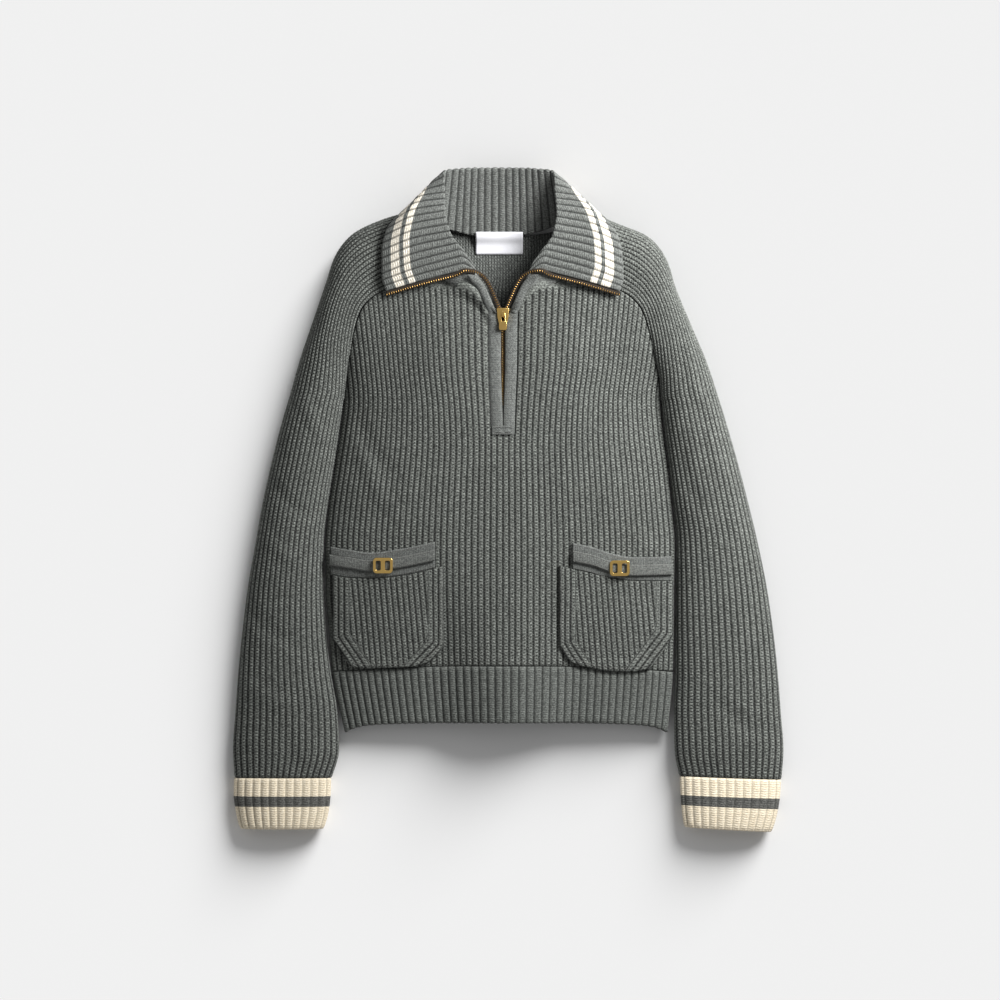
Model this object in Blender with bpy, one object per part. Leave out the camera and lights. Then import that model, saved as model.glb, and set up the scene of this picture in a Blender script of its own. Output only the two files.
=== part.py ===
# Quarter-zip polo sweater, laid on its back and softly filled out, in metres.
# Y runs towards the collar and Z is up. In the names, left is -X and right is +X,
# as they are seen from above.
# Every cloth piece is a wall: ribbed points outside, a plain coarser grid inside.
import math

import bmesh
import bpy
import numpy as np
from mathutils import Vector

MM = 0.001

# Driving dimensions, in millimetres
ZIP_X = -3.4            # the zip's line, which is the body's middle
CENTRE_SHIFT = -2.5     # moves the whole so that the origin lies under its middle
SEAM_GAP = 0.3          # space left between sewn pieces
LAY_GAP = 0.35          # space under a piece that lies on another
SLEEVE_GAP = 1.7        # space at the raglan seams, where two curved edges meet
NECKLINE_END = 243.0    # level at which the raglan seams reach the neckline
BODY_WALL = 3.0
TRIM_WALL = 2.6
SIDE_HEIGHT = 10.0      # height of the side seams above the surface
CUFF_SIDE_HEIGHT = 9.0
BODY_RIBS = 60
HEM_RIBS = 46
SLEEVE_RIBS = 18
CUFF_RIBS = 13
COLLAR_RIBS = 48
POCKET_RIBS = 20
RIB_HEIGHT = 1.1
HEM_RIB_HEIGHT = 1.7
SIDE_CROWDING = 0.02    # how much the ribs crowd in plan where the sides roll down
SLIT_BOTTOM = 73.0      # where the zip's slit ends
UNDERARM = 111.0
NECK_SIDE = 318.0       # level of the neck's sides on the back panel
NECK_DROP = 25.0        # how far the back neckline dips in its middle
STRAP_WIDTH = 12.4
TAPE_HALF_WIDTH = 2.2
TAPE_THICKNESS = 1.2
TAPE_DROP = 2.0         # how far a tape's underside lies below the collar's face
PLACKET_TOP = 207.0
PLACKET_OFFSET = 7.7    # from the zip's line to the middle of each placket strip
PLACKET_HALF_WIDTH = 5.5
PLACKET_WALL = 2.6
CHAIN_HALF_WIDTH = 4.0
END_BOX_HALF_WIDTH = 11.8
END_BOX_WALL = 2.0
POCKET_WALL = 2.4
BAND_WALL = 2.2
BAND_WIDTH = 31.0
STRAP_WALL = 2.4
STRAP_DROP = 8.5        # from the mouth's top edge down to the strap
BUCKLE_WIDTH = 22.0
BUCKLE_LENGTH = 17.5
BUCKLE_THICKNESS = 1.8
LEFT_BUCKLE = (-137.0, -74.0)
RIGHT_BUCKLE = (126.5, -77.0)
SLIDER_BODY = 4.0       # thickness of the zip slider's body
PULL_THICKNESS = 1.6
LABEL_BOX = (-34.0, 19.0, 273.5, 298.5)
LABEL_THICKNESS = 0.6

# Body outline and crown of the front, a row for each level
BODY_COLUMNS = ("level", "left", "right", "crown", "bulge")
BODY_ROWS = [
    (-262.0, -180.0, 180.5, 24.0, 17.0),
    (-225.0, -188.0, 184.5, 26.0, 16.0),
    (-193.0, -193.8, 187.0, 28.0, 14.0),
    (-150.0, -197.5, 188.0, 31.0, 10.0),
    (-104.0, -201.0, 188.5, 34.0, 6.0),
    (-52.0, -201.6, 189.0, 37.0, 2.0),
    (-14.0, -198.2, 186.0, 39.0, 0.0),
    (37.0, -190.5, 180.5, 40.0, 0.0),
    (78.0, -184.0, 175.0, 40.0, 0.0),
    (111.0, -180.5, 172.5, 40.0, 0.0),
    (150.0, -184.0, 178.0, 40.0, 0.0),
    (210.0, -192.0, 187.0, 39.0, 0.0),
    (300.0, -206.0, 200.0, 38.0, 0.0),
]

# Raglan seams from the underarm up to the neckline
RAGLAN_COLUMNS = ("level", "left", "right", "height")
RAGLAN_ROWS = [
    (111.0, -180.3, 172.4, 10.0),
    (131.0, -178.0, 171.2, 15.0),
    (152.0, -175.6, 167.0, 22.0),
    (171.0, -172.3, 163.0, 28.0),
    (192.0, -167.6, 157.5, 32.5),
    (210.6, -160.8, 150.5, 35.0),
    (225.1, -147.5, 138.0, 36.5),
    (234.0, -131.0, 122.0, 37.0),
    (243.0, -104.0, 97.0, 37.0),
]

# Sleeve sections from the cuff to the neck: seam_x, seam_y, outer_x, outer_y, crown and
# seam_height
LEFT_SLEEVE = [
    (-195.0, -311.0, -303.0, -311.0, 25.0, 10.0),
    (-187.0, -280.0, -304.5, -279.0, 29.0, 10.0),
    (-189.0, -240.0, -301.8, -240.0, 31.0, 10.0),
    (-197.0, -190.0, -298.0, -190.0, 33.0, 10.0),
    (-202.6, -140.0, -293.0, -142.0, 34.5, 10.0),
    (-205.0, -92.0, -287.0, -96.0, 36.0, 10.0),
    (-204.5, -46.0, -279.3, -52.0, 37.0, 10.0),
    (-200.0, -6.0, -271.5, -8.0, 38.0, 10.0),
    (-192.8, 40.0, -260.5, 42.0, 38.5, 10.0),
    (-186.3, 84.0, -248.7, 88.0, 39.0, 10.0),
    (-182.5, 110.0, -240.3, 116.0, 39.0, 10.0),
    (-178.6, 131.0, -229.3, 155.0, 39.0, 15.0),
    (-173.0, 171.0, -215.5, 196.0, 38.5, 28.0),
    (-161.6, 210.9, -200.5, 240.0, 38.0, 35.0),
    (-148.0, 225.8, -190.0, 271.0, 38.0, 36.5),
    (-131.4, 234.8, -171.0, 295.0, 38.0, 37.0),
    (-117.0, 240.0, -136.0, 312.0, 37.5, 37.2),
    (-105.5, 244.4, -100.5, 322.0, 37.0, 37.0),
]
RIGHT_SLEEVE = [
    (194.0, -309.0, 307.5, -313.0, 25.0, 10.0),
    (189.0, -280.0, 309.5, -281.0, 29.0, 10.0),
    (188.5, -240.0, 306.5, -240.0, 31.0, 10.0),
    (190.5, -190.0, 302.5, -190.0, 33.0, 10.0),
    (190.8, -140.0, 297.0, -142.0, 34.5, 10.0),
    (191.5, -92.0, 290.0, -96.0, 36.0, 10.0),
    (191.8, -46.0, 281.0, -52.0, 37.0, 10.0),
    (188.0, -6.0, 270.5, -8.0, 38.0, 10.0),
    (182.6, 40.0, 257.5, 42.0, 38.5, 10.0),
    (177.2, 84.0, 244.2, 88.0, 39.0, 10.0),
    (174.6, 110.0, 235.5, 116.0, 39.0, 10.0),
    (171.8, 131.0, 223.5, 152.0, 39.0, 15.0),
    (163.7, 171.0, 205.0, 196.0, 38.5, 28.0),
    (151.3, 210.9, 188.5, 236.0, 38.0, 35.0),
    (138.5, 225.8, 179.0, 266.0, 38.0, 36.5),
    (122.4, 234.8, 160.0, 291.0, 38.0, 37.0),
    (109.0, 240.0, 124.0, 307.0, 37.5, 37.2),
    (98.5, 244.4, 91.5, 320.0, 37.0, 37.0),
]

# Cuff sections from the sleeve down to the edge, with the sleeves' columns
LEFT_CUFF = [
    (-195.8, -311.6, -303.5, -311.6, 25.5, 9.0),
    (-196.5, -330.0, -303.8, -330.0, 26.0, 9.0),
    (-199.0, -350.0, -301.2, -350.0, 26.0, 9.0),
    (-203.8, -368.5, -297.0, -368.5, 25.0, 9.0),
]
RIGHT_CUFF = [
    (194.6, -309.6, 307.0, -313.6, 25.5, 9.0),
    (195.5, -328.0, 305.8, -332.0, 26.0, 9.0),
    (197.0, -347.0, 302.5, -352.0, 26.0, 9.0),
    (199.5, -366.5, 297.0, -372.0, 25.0, 9.0),
]

# Collar stations on the left half, from its front edge round to the middle of the back.
# Each gives the neck seam, a point on the stand, the fold, the leaf's belly and its edge.
COLLAR_ROWS = [
    ((-10.5, 207.0, 43.0), (-29.1, 244.0, 46.5), (-48.0, 254.0, 52.0), (-92.0, 243.0, 50.5),
     (-133.5, 231.0, 46.0)),
    ((-30.0, 224.0, 43.0), (-36.5, 259.0, 48.5), (-51.5, 275.0, 54.0), (-98.0, 263.0, 53.0),
     (-138.0, 248.0, 46.0)),
    ((-62.0, 240.0, 43.0), (-61.2, 270.8, 47.3), (-60.5, 296.0, 54.5), (-101.0, 288.0, 54.0),
     (-137.5, 274.0, 45.0)),
    ((-82.0, 262.0, 42.0), (-73.0, 293.4, 45.5), (-65.5, 319.0, 52.0), (-103.0, 312.0, 53.0),
     (-131.0, 299.0, 43.0)),
    ((-88.0, 288.0, 36.0), (-75.5, 317.3, 39.5), (-65.0, 341.0, 46.0), (-90.0, 337.0, 45.0),
     (-113.0, 318.0, 31.0)),
    ((-76.0, 307.0, 25.0), (-69.6, 338.7, 30.7), (-64.0, 364.5, 39.0), (-75.5, 354.0, 31.0),
     (-85.0, 329.0, 6.0)),
    ((-50.0, 299.0, 12.0), (-47.4, 336.9, 21.0), (-45.0, 367.7, 32.0), (-51.0, 363.0, 14.0),
     (-62.0, 330.0, 3.5)),
    ((-23.0, 294.0, 9.0), (-22.5, 334.9, 17.5), (-22.0, 368.9, 28.0), (-23.0, 362.0, 10.0),
     (-30.0, 318.0, 3.0)),
    ((-3.4, 293.5, 8.5), (-3.4, 334.7, 16.7), (-3.4, 368.9, 27.0), (-3.4, 361.0, 9.0),
     (-3.4, 312.0, 3.0)),
]
COLLAR_LEAN = 6.5       # the collar's back sits this far left of the zip's line

# Pockets in plan: across, top and bottom. Then each mouth's top edge as a line.
LEFT_POCKET = [
    (-191.5, -85.0, -156.0),
    (-184.0, -86.5, -168.0),
    (-171.0, -88.0, -187.0),
    (-151.0, -88.5, -188.5),
    (-128.0, -87.0, -188.0),
    (-105.0, -83.5, -186.5),
    (-84.0, -78.5, -180.0),
    (-69.0, -74.5, -164.0),
]
RIGHT_POCKET = [
    (59.0, -74.5, -163.0),
    (70.0, -77.0, -180.0),
    (92.0, -82.0, -187.5),
    (117.0, -88.0, -191.5),
    (139.0, -91.0, -192.0),
    (156.0, -91.5, -190.0),
    (172.0, -91.5, -172.0),
    (184.0, -91.5, -152.0),
]
LEFT_MOUTH = [(-193.5, -53.0), (-175.0, -56.0), (-151.0, -59.5), (-118.0, -55.5), (-79.0, -47.5)]
RIGHT_MOUTH = [(74.0, -48.5), (95.0, -53.0), (117.5, -60.5), (141.0, -64.5), (182.0, -63.5)]

COLOURS = {
    "wool": (0.105, 0.11, 0.103),
    "dark_wool": (0.085, 0.09, 0.083),
    "cream": (0.66, 0.58, 0.45),
    "brass": (0.72, 0.50, 0.16),
    "tape": (0.035, 0.028, 0.02),
    "label": (0.78, 0.78, 0.8),
}


def clear_scene():
    for thing in list(bpy.data.objects):
        bpy.data.objects.remove(thing, do_unlink=True)


def material(name, roughness=0.9, metallic=0.0):
    made = bpy.data.materials.get(name)
    if made:
        return made
    made = bpy.data.materials.new(name)
    made.use_nodes = True
    shader = made.node_tree.nodes["Principled BSDF"]
    shader.inputs["Base Color"].default_value = (*COLOURS[name], 1.0)
    shader.inputs["Roughness"].default_value = roughness
    shader.inputs["Metallic"].default_value = metallic
    return made


def add_object(name, points, faces, finish, roughness=0.9, metallic=0.0):
    """Makes one closed body from points in millimetres, and turns its faces outwards."""
    mesh = bpy.data.meshes.new(name)
    mesh.from_pydata([tuple(p) for p in np.asarray(points) * MM], [], faces)
    build = bmesh.new()
    build.from_mesh(mesh)
    bmesh.ops.remove_doubles(build, verts=build.verts, dist=1e-7)
    bmesh.ops.triangulate(build, faces=build.faces)
    bmesh.ops.recalc_face_normals(build, faces=build.faces)
    build.to_mesh(mesh)
    build.free()
    thing = bpy.data.objects.new(name, mesh)
    thing.data.materials.append(material(finish, roughness, metallic))
    bpy.context.collection.objects.link(thing)
    return thing


def column(rows, names, name):
    return np.array([row[names.index(name)] for row in rows], dtype=float)


def smooth_curve(knots, values, wanted):
    """Cubic through the knots with limited slopes, so it never overshoots."""
    knots = np.asarray(knots, dtype=float)
    values = np.asarray(values, dtype=float)
    flat = values.ndim == 1
    if flat:
        values = values[:, None]
    step = np.diff(knots)[:, None]
    slope = np.diff(values, axis=0) / step
    tangent = np.zeros_like(values)
    tangent[0] = slope[0]
    tangent[-1] = slope[-1]
    same = slope[:-1] * slope[1:] > 0
    mean = 2 * slope[:-1] * slope[1:] / np.where(same, slope[:-1] + slope[1:], 1.0)
    tangent[1:-1] = np.where(same, mean, 0.0)
    wanted = np.clip(np.asarray(wanted, dtype=float), knots[0], knots[-1])
    cell = np.clip(np.searchsorted(knots, wanted, side="right") - 1, 0, len(knots) - 2)
    t = ((wanted - knots[cell]) / np.diff(knots)[cell])[..., None]
    width = step[cell]
    result = ((2 * t**3 - 3 * t**2 + 1) * values[cell]
              + (t**3 - 2 * t**2 + t) * width * tangent[cell]
              + (-2 * t**3 + 3 * t**2) * values[cell + 1]
              + (t**3 - t**2) * width * tangent[cell + 1])
    return result[..., 0] if flat else result


def grid_normals(grid):
    """Unit normals of a grid of points, along (down the columns) x (along the rows)."""
    along = np.gradient(grid, axis=1)
    down = np.gradient(grid, axis=0)
    normal = np.cross(along, down)
    size = np.linalg.norm(normal, axis=2, keepdims=True)
    return normal / np.maximum(size, 1e-9)


def wall(name, smooth, relief, thickness, step, finish, missing=None, low=-1.0, high=90.0):
    """A closed wall. Its outside is the smooth grid raised by relief, and its inside is
    the smooth grid moved in by the thickness, with only every step-th column. low and high
    keep the inside above or below the height of a side seam."""
    rows, cols = smooth.shape[:2]
    missing = missing or (lambda r, c: False)
    normal = grid_normals(smooth)
    outer = smooth + normal * relief[..., None]
    inner = smooth - normal * thickness
    inner[..., 2] = np.clip(inner[..., 2], low, high)
    picked = sorted(set(range(0, cols, step)) | {cols - 1})
    points = list(outer.reshape(-1, 3)) + list(inner.reshape(-1, 3))

    def out(r, c):
        return r * cols + c

    def inn(r, c):
        return rows * cols + r * cols + c

    faces = []
    for r in range(rows - 1):
        for c in range(cols - 1):
            if not missing(r, c):
                faces.append((out(r, c), out(r, c + 1), out(r + 1, c + 1), out(r + 1, c)))
        for a, b in zip(picked, picked[1:]):
            if not missing(r, a):
                faces.append((inn(r, a), inn(r + 1, a), inn(r + 1, b), inn(r, b)))

    def close_row(r, a, b):
        middle = (a + b) // 2
        for c in range(a, middle):
            faces.append((inn(r, a), out(r, c), out(r, c + 1)))
        faces.append((inn(r, a), out(r, middle), inn(r, b)))
        for c in range(middle, b):
            faces.append((inn(r, b), out(r, c), out(r, c + 1)))

    def close_column(r, c):
        faces.append((out(r, c), out(r + 1, c), inn(r + 1, c), inn(r, c)))

    for r in range(rows):
        for a, b in zip(picked, picked[1:]):
            above = r < rows - 1 and not missing(r, a)
            below = r > 0 and not missing(r - 1, a)
            if above != below:
                close_row(r, a, b)
    for r in range(rows - 1):
        for n, c in enumerate(picked):
            right = n < len(picked) - 1 and not missing(r, c)
            left = n > 0 and not missing(r, picked[n - 1])
            if right != left:
                close_column(r, c)
    used = sorted({v for face in faces for v in face})
    index = {v: n for n, v in enumerate(used)}
    faces = [tuple(index[v] for v in face) for face in faces]
    return add_object(name, np.array([points[v] for v in used]), faces, finish)


def bump(t):
    """A smooth hump: 1 at 0, falling to 0 at 1 and beyond."""
    t = np.clip(np.abs(t), 0.0, 1.0)
    return (1.0 - t * t) ** 2


def body_row(level):
    levels = column(BODY_ROWS, BODY_COLUMNS, "level")
    return [smooth_curve(levels, column(BODY_ROWS, BODY_COLUMNS, name), level)
            for name in BODY_COLUMNS[1:]]


def raglan_row(level):
    levels = column(RAGLAN_ROWS, RAGLAN_COLUMNS, "level")
    return [smooth_curve(levels, column(RAGLAN_ROWS, RAGLAN_COLUMNS, name), level)
            for name in RAGLAN_COLUMNS[1:]]


def front_height(x, y):
    """Height of the front's smooth outside above the surface."""
    left, right, crown, bulge = body_row(y)
    seam_left, seam_right, seam_height = raglan_row(np.maximum(y, UNDERARM))
    in_armhole = y > UNDERARM
    left = np.where(in_armhole, seam_left, left)
    right = np.where(in_armhole, seam_right, right)
    edge = np.where(in_armhole, seam_height, SIDE_HEIGHT)
    middle = (left + right) / 2
    u = np.clip((x - middle) / ((right - left) / 2), -1.0, 1.0)
    dome = np.sqrt(np.maximum(1.0 - np.abs(u) ** 2.6, 0.0))
    height = edge + (crown - edge) * dome
    height = height + bulge * bump((x - ZIP_X - 4.0) / 82.0)
    chest = bump((np.abs(x - ZIP_X) - 62.0) / 70.0) * bump((y - 165.0) / 130.0)
    zip_dip = bump((x - ZIP_X) / 30.0) * bump((y - 150.0) / 110.0)
    return height + 3.5 * chest - 2.0 * zip_dip


def fan(level):
    """How far the ribs spread away from the zip at this level."""
    t = np.clip((level - 20.0) / 60.0, 0.0, 1.0)
    return 0.22 * t * t * (3 - 2 * t)


def rib_x(rib, level):
    """Where a rib from -1 at the left side to 1 at the right side lies at a level."""
    left, right, crown, bulge = body_row(level)
    t = np.abs(rib)
    spread = t + fan(level) * t * (1 - t) ** 2
    spread = spread + SIDE_CROWDING * np.sin(np.pi * spread)
    reach = np.where(rib < 0, ZIP_X - left, right - ZIP_X)
    return ZIP_X + np.sign(rib) * reach * np.minimum(spread, 1.0)


def front_top(x):
    """The front neckline, in plan, between the raglan seams."""
    t = np.clip(np.abs(x - ZIP_X) / 100.0, 0.0, 1.0)
    return 212.0 + 31.0 * np.sin(t * math.pi / 2) ** 0.7


def rib_top(rib):
    """The level at which a rib runs into the raglan seam or the neckline."""
    levels = np.linspace(UNDERARM + 0.5, 243.0, 400)
    x = rib_x(np.full_like(levels, rib), levels)
    seam_left, seam_right, seam_height = raglan_row(levels)
    outside = (x < seam_left) | (x > seam_right) | (levels > front_top(x))
    return levels[outside][0] if outside.any() else levels[-1]


def rib_relief(count, height):
    """Ridge and valley heights for two columns a rib."""
    return np.array([height if c % 2 else 0.0 for c in range(2 * count + 1)])


def hem_join(x):
    t = (x - ZIP_X) / 190.0
    return -186.0 - 7.0 * np.abs(t) ** 2.5


def hem_edge(x):
    t = (x - ZIP_X) / 185.0
    return -249.0 - 3.0 * t * t - 6.0 * np.abs(t) ** 12


def front_grid(gap=SEAM_GAP):
    """Smooth points of the front panel: one column for each ridge and valley."""
    ribs = np.linspace(-1.0, 1.0, 2 * BODY_RIBS + 1)
    tops = np.array([rib_top(rib) for rib in ribs]) - gap
    lower = np.linspace(0.0, 1.0, 9)
    upper = np.linspace(0.0, 1.0, 6)[1:]
    grid = []
    for share in lower:
        foot = hem_join(rib_x(ribs, np.full_like(ribs, -190.0))) + gap
        grid.append(foot + share * (SLIT_BOTTOM - foot))
    for share in upper:
        grid.append(SLIT_BOTTOM + share * (tops - SLIT_BOTTOM))
    level = np.array(grid)
    x = rib_x(ribs[None, :].repeat(len(level), 0), level)
    return np.dstack([x, level, front_height(x, level)]), len(lower) - 1


def make_front():
    grid, slit_row = front_grid()
    relief = np.tile(rib_relief(BODY_RIBS, RIB_HEIGHT), (len(grid), 1))
    half = BODY_RIBS
    notch = 4

    def in_slit(r, c):
        return r >= slit_row and half - notch <= c < half + notch

    wall("front_panel", grid, relief, BODY_WALL, 4, "wool", in_slit, low=SIDE_HEIGHT)


def make_back():
    """Flat underneath, with its sides rolled up to meet the front at the side seams."""
    levels = np.array([-186.0, -150.0, -104.0, -52.0, 0.0, 50.0, 95.0, 111.0, 131.0, 152.0, 171.0,
                       210.6, 225.1, 243.0])
    rows = []
    for level in levels:
        left, right = body_row(level)[:2]
        lift = SIDE_HEIGHT - SEAM_GAP
        if level > UNDERARM:
            left, right = raglan_row(level)[:2]
            lift *= max(0.0, 1 - (level - UNDERARM) / 40.0)
        rows.append(under_row(left + 2 * SEAM_GAP, right - 2 * SEAM_GAP, level, lift))
    for level, left, right in ((262.0, -101.0, 94.0), (282.0, -100.0, 92.5), (NECK_SIDE, -97.0, 89.0)):
        rows.append(under_row(left, right, level, 0.0))
    grid = np.array(rows)
    x = grid[-1][:, 0]
    grid[-1][:, 1] = NECK_SIDE - NECK_DROP * bump((x - ZIP_X) / 95.0) ** 0.35
    wall("back_panel", grid[::-1], np.zeros(grid.shape[:2]), BODY_WALL, 1, "dark_wool",
         high=SIDE_HEIGHT - SEAM_GAP)


def under_row(left, right, level, lift):
    """Points across an underside: rolled edges of the given lift and a flat middle."""
    turn = np.linspace(0.0, math.pi / 2, 4)
    roll_x = SIDE_HEIGHT * (1 - np.cos(turn))
    roll_z = lift * (1 - np.sin(turn))
    middle = np.linspace(left + SIDE_HEIGHT, right - SIDE_HEIGHT, 9)[1:-1]
    x = np.concatenate([left + roll_x, middle, (right - roll_x)[::-1]])
    z = np.concatenate([roll_z, np.zeros(7), roll_z[::-1]])
    return np.column_stack([x, np.full_like(x, level), z])


def make_hem():
    """The hem band's front, ribbed, and its back, which lies flat."""
    ribs = np.linspace(-1.0, 1.0, 2 * HEM_RIBS + 1)
    rows = []
    for share in (0.0, 0.5, 1.0):
        x = rib_x(ribs, np.full_like(ribs, -188.0))
        top = hem_join(x) - SEAM_GAP
        level = top + share * (hem_edge(x) - top)
        x = rib_x(ribs, level)
        rows.append(np.column_stack([x, level, front_height(x, level)]))
    grid = np.array(rows)[::-1]
    relief = np.tile(rib_relief(HEM_RIBS, HEM_RIB_HEIGHT), (len(grid), 1))
    wall("hem_front", grid, relief, BODY_WALL, 4, "dark_wool", low=SIDE_HEIGHT)
    rows = []
    for level in (-186.6, -218.0, -248.0):
        left, right = body_row(level)[:2]
        rows.append(under_row(left + SEAM_GAP, right - SEAM_GAP, level, SIDE_HEIGHT - SEAM_GAP))
    wall("hem_back", np.array(rows), np.zeros((3, 15)), BODY_WALL, 1, "dark_wool",
         high=SIDE_HEIGHT - SEAM_GAP)


def ring(seam, outer, crown, seam_height, closed, ribs, side_height):
    """One section of a sleeve or cuff: over the top in rib-wide steps, then flat under.
    closed is 1 where the section is a whole tube and 0 where it opens at the armhole."""
    width = np.linalg.norm(outer - seam)
    turn = np.linspace(0.0, math.pi, 121)
    across = width / 2 * (1 - np.cos(turn))
    edge = seam_height + (side_height - seam_height) * across / width
    top = np.column_stack([across, edge + (crown - edge) * np.sin(turn) ** 0.85])
    roll = np.linspace(0.0, math.pi / 2, 7)[1:]
    outer_roll = np.column_stack([width - side_height * (1 - np.cos(roll)),
                                  side_height * (1 - np.sin(roll))])
    inner_roll = np.column_stack([side_height * (1 - np.cos(roll)),
                                  side_height * (1 - np.sin(roll)) * closed])[::-1]
    last = np.array([[0.0, side_height * closed - SEAM_GAP]])
    last[0, 1] = max(last[0, 1], 0.0)
    under = np.vstack([outer_roll, inner_roll, last])
    top_run = np.concatenate([[0], np.cumsum(np.linalg.norm(np.diff(top, axis=0), axis=1))])
    places = np.linspace(0.0, top_run[-1], 2 * ribs + 1)
    top = np.column_stack([np.interp(places, top_run, top[:, k]) for k in (0, 1)])
    path = np.vstack([top, under])
    aim = (outer - seam) / width
    plan = seam[None, :] + aim[None, :] * path[:, :1]
    return np.column_stack([plan, path[:, 1]])


def tube(rows, ribs, rib_height, side_height, places):
    """A sleeve or cuff through its sections, ribbed over the top and plain underneath.
    places are the sections wanted, counted in rows of the table."""
    table = np.array(rows, dtype=float)
    run = np.concatenate([[0], np.cumsum(np.linalg.norm(np.diff(table[:, :2], axis=0), axis=1)
                                         + np.linalg.norm(np.diff(table[:, 2:4], axis=0), axis=1))])
    wanted = np.interp(places, np.arange(len(rows)), run)
    table = smooth_curve(run, table, wanted)
    grid = []
    for seam_x, seam_y, outer_x, outer_y, crown, seam_height in table:
        if UNDERARM < seam_y < NECKLINE_END:
            seam_left, seam_right = raglan_row(seam_y)[:2]
            seam_x = seam_left - SLEEVE_GAP if seam_x < 0 else seam_right + SLEEVE_GAP
        closed = float(np.clip(1 - (seam_height - side_height) / 12.0, 0.0, 1.0))
        grid.append(ring(np.array([seam_x, seam_y]), np.array([outer_x, outer_y]), crown,
                         seam_height, closed, ribs, side_height))
    grid = facing_up(np.array(grid))
    relief = np.zeros(grid.shape[:2])
    relief[:, 1:2 * ribs:2] = rib_height
    return grid, relief


def make_sleeves():
    places = [0, 1, 2, 3.4, 4.8, 6.2, 7.6, 9, 10, 10.5, 11, 11.5, 12, 12.5, 13, 13.5, 14, 15, 16, 17]
    for name, rows in (("sleeve_left", LEFT_SLEEVE), ("sleeve_right", RIGHT_SLEEVE)):
        grid, relief = tube(rows, SLEEVE_RIBS, RIB_HEIGHT, SIDE_HEIGHT, places)
        wall(name, grid, relief, BODY_WALL, 4, "wool")
    for name, rows in (("cuff_left", LEFT_CUFF), ("cuff_right", RIGHT_CUFF)):
        grid, relief = tube(rows, CUFF_RIBS, HEM_RIB_HEIGHT, CUFF_SIDE_HEIGHT, range(4))
        wall(name, grid, relief, TRIM_WALL, 2, "cream")


def facing_up(grid):
    """Orders the rows so that the normals over the top point up."""
    half = grid.shape[1] // 3
    if grid_normals(grid)[:, half, 2].mean() < 0:
        return grid[::-1]
    return grid


def collar_path(station, steps):
    """Points from the neck seam over the fold to the leaf's edge at one station."""
    seam, rise, fold, belly, edge = station
    knots = np.array([0.0, 0.27, 0.47, 0.53, 0.76, 1.0])
    lip = fold + (belly - fold) * 0.12
    points = np.array([seam, rise, fold, lip, belly, edge])
    return smooth_curve(knots, points, steps)


def make_collar():
    stations = [np.array(row, dtype=float) for row in COLLAR_ROWS]
    mirrored = []
    for row in stations[:-1][::-1]:
        flipped = row.copy()
        flipped[:, 0] = 2 * ZIP_X - row[:, 0]
        mirrored.append(flipped)
    whole = np.array(stations + mirrored)
    lean = COLLAR_LEAN * bump(np.linspace(-1, 1, len(whole)))
    whole[..., 0] -= lean[:, None]
    middle = (whole[:, 2] + whole[:, 3]) / 2
    run = np.concatenate([[0], np.cumsum(np.linalg.norm(np.diff(middle, axis=0), axis=1))])
    places = np.linspace(0, run[-1], 2 * COLLAR_RIBS + 1)
    flat = smooth_curve(run, whole.reshape(len(whole), -1), places)
    steps = np.array([0.0, 0.13, 0.27, 0.4, 0.47, 0.53, 0.66, 0.8, 0.92, 1.0])
    grid = np.array([collar_path(row.reshape(5, 3), steps) for row in flat])
    grid = grid.transpose(1, 0, 2)
    relief = np.tile(rib_relief(COLLAR_RIBS, RIB_HEIGHT), (len(grid), 1))
    if grid_normals(grid)[7, 4, 2] < 0:
        grid = grid[::-1]
    wall("collar", grid, relief, TRIM_WALL, 4, "wool")
    make_tapes(grid)


def make_tapes(grid):
    """The zip's tapes, just outside the collar's front edges: one along the leaf, and a short
    one on the neck side of the stand, below the place where the collar folds over."""
    stretches = (("", 0.43, 1.0, 0.7, 1, 20), ("_stand", 0.1, 0.31, 2.6, -1, 8))
    for side, edge, turn in (("left", 0, 1), ("right", -1, -1)):
        line = grid[:, edge]
        if abs(line[0, 0] - ZIP_X) > abs(line[-1, 0] - ZIP_X):
            line = line[::-1]
        run = np.concatenate([[0], np.cumsum(np.linalg.norm(np.diff(line, axis=0), axis=1))])
        for part, start, end, clear, way, count in stretches:
            path = smooth_curve(run, line, np.linspace(start, end, count) * run[-1])
            along = np.gradient(path, axis=0)
            away = np.column_stack([-along[:, 1], along[:, 0], np.zeros(count)]) * turn * way
            away /= np.linalg.norm(away, axis=1, keepdims=True)
            path = path + away * (TAPE_HALF_WIDTH + clear) - np.array([0.0, 0.0, TAPE_DROP])
            ribbon("zip_tape_" + side + part, path, away * TAPE_HALF_WIDTH, TAPE_THICKNESS,
                   "tape", 0.6)


def sheet_on_front(name, x, y, lift, thickness, relief, step, finish):
    """A patch made from the front's own points, moved out. It lifts a little more where it
    turns down the body's side and where it reaches the hem's higher ribs."""
    base = np.dstack([x, y, front_height(x, y)])
    side = np.clip((np.abs(x - ZIP_X) - 160.0) / 30.0, 0.0, 1.0)
    foot = np.clip((-178.0 - y) / 6.0, 0.0, 1.0)
    extra = (1.6 * side + 0.9 * foot)[..., None]
    if grid_normals(base)[0, 0, 2] < 0:
        base = base[::-1]
        extra = extra[::-1]
        relief = relief[::-1]
    smooth = base + grid_normals(base) * (lift + thickness + extra)
    wall(name, smooth, relief, thickness, step, finish)


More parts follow.
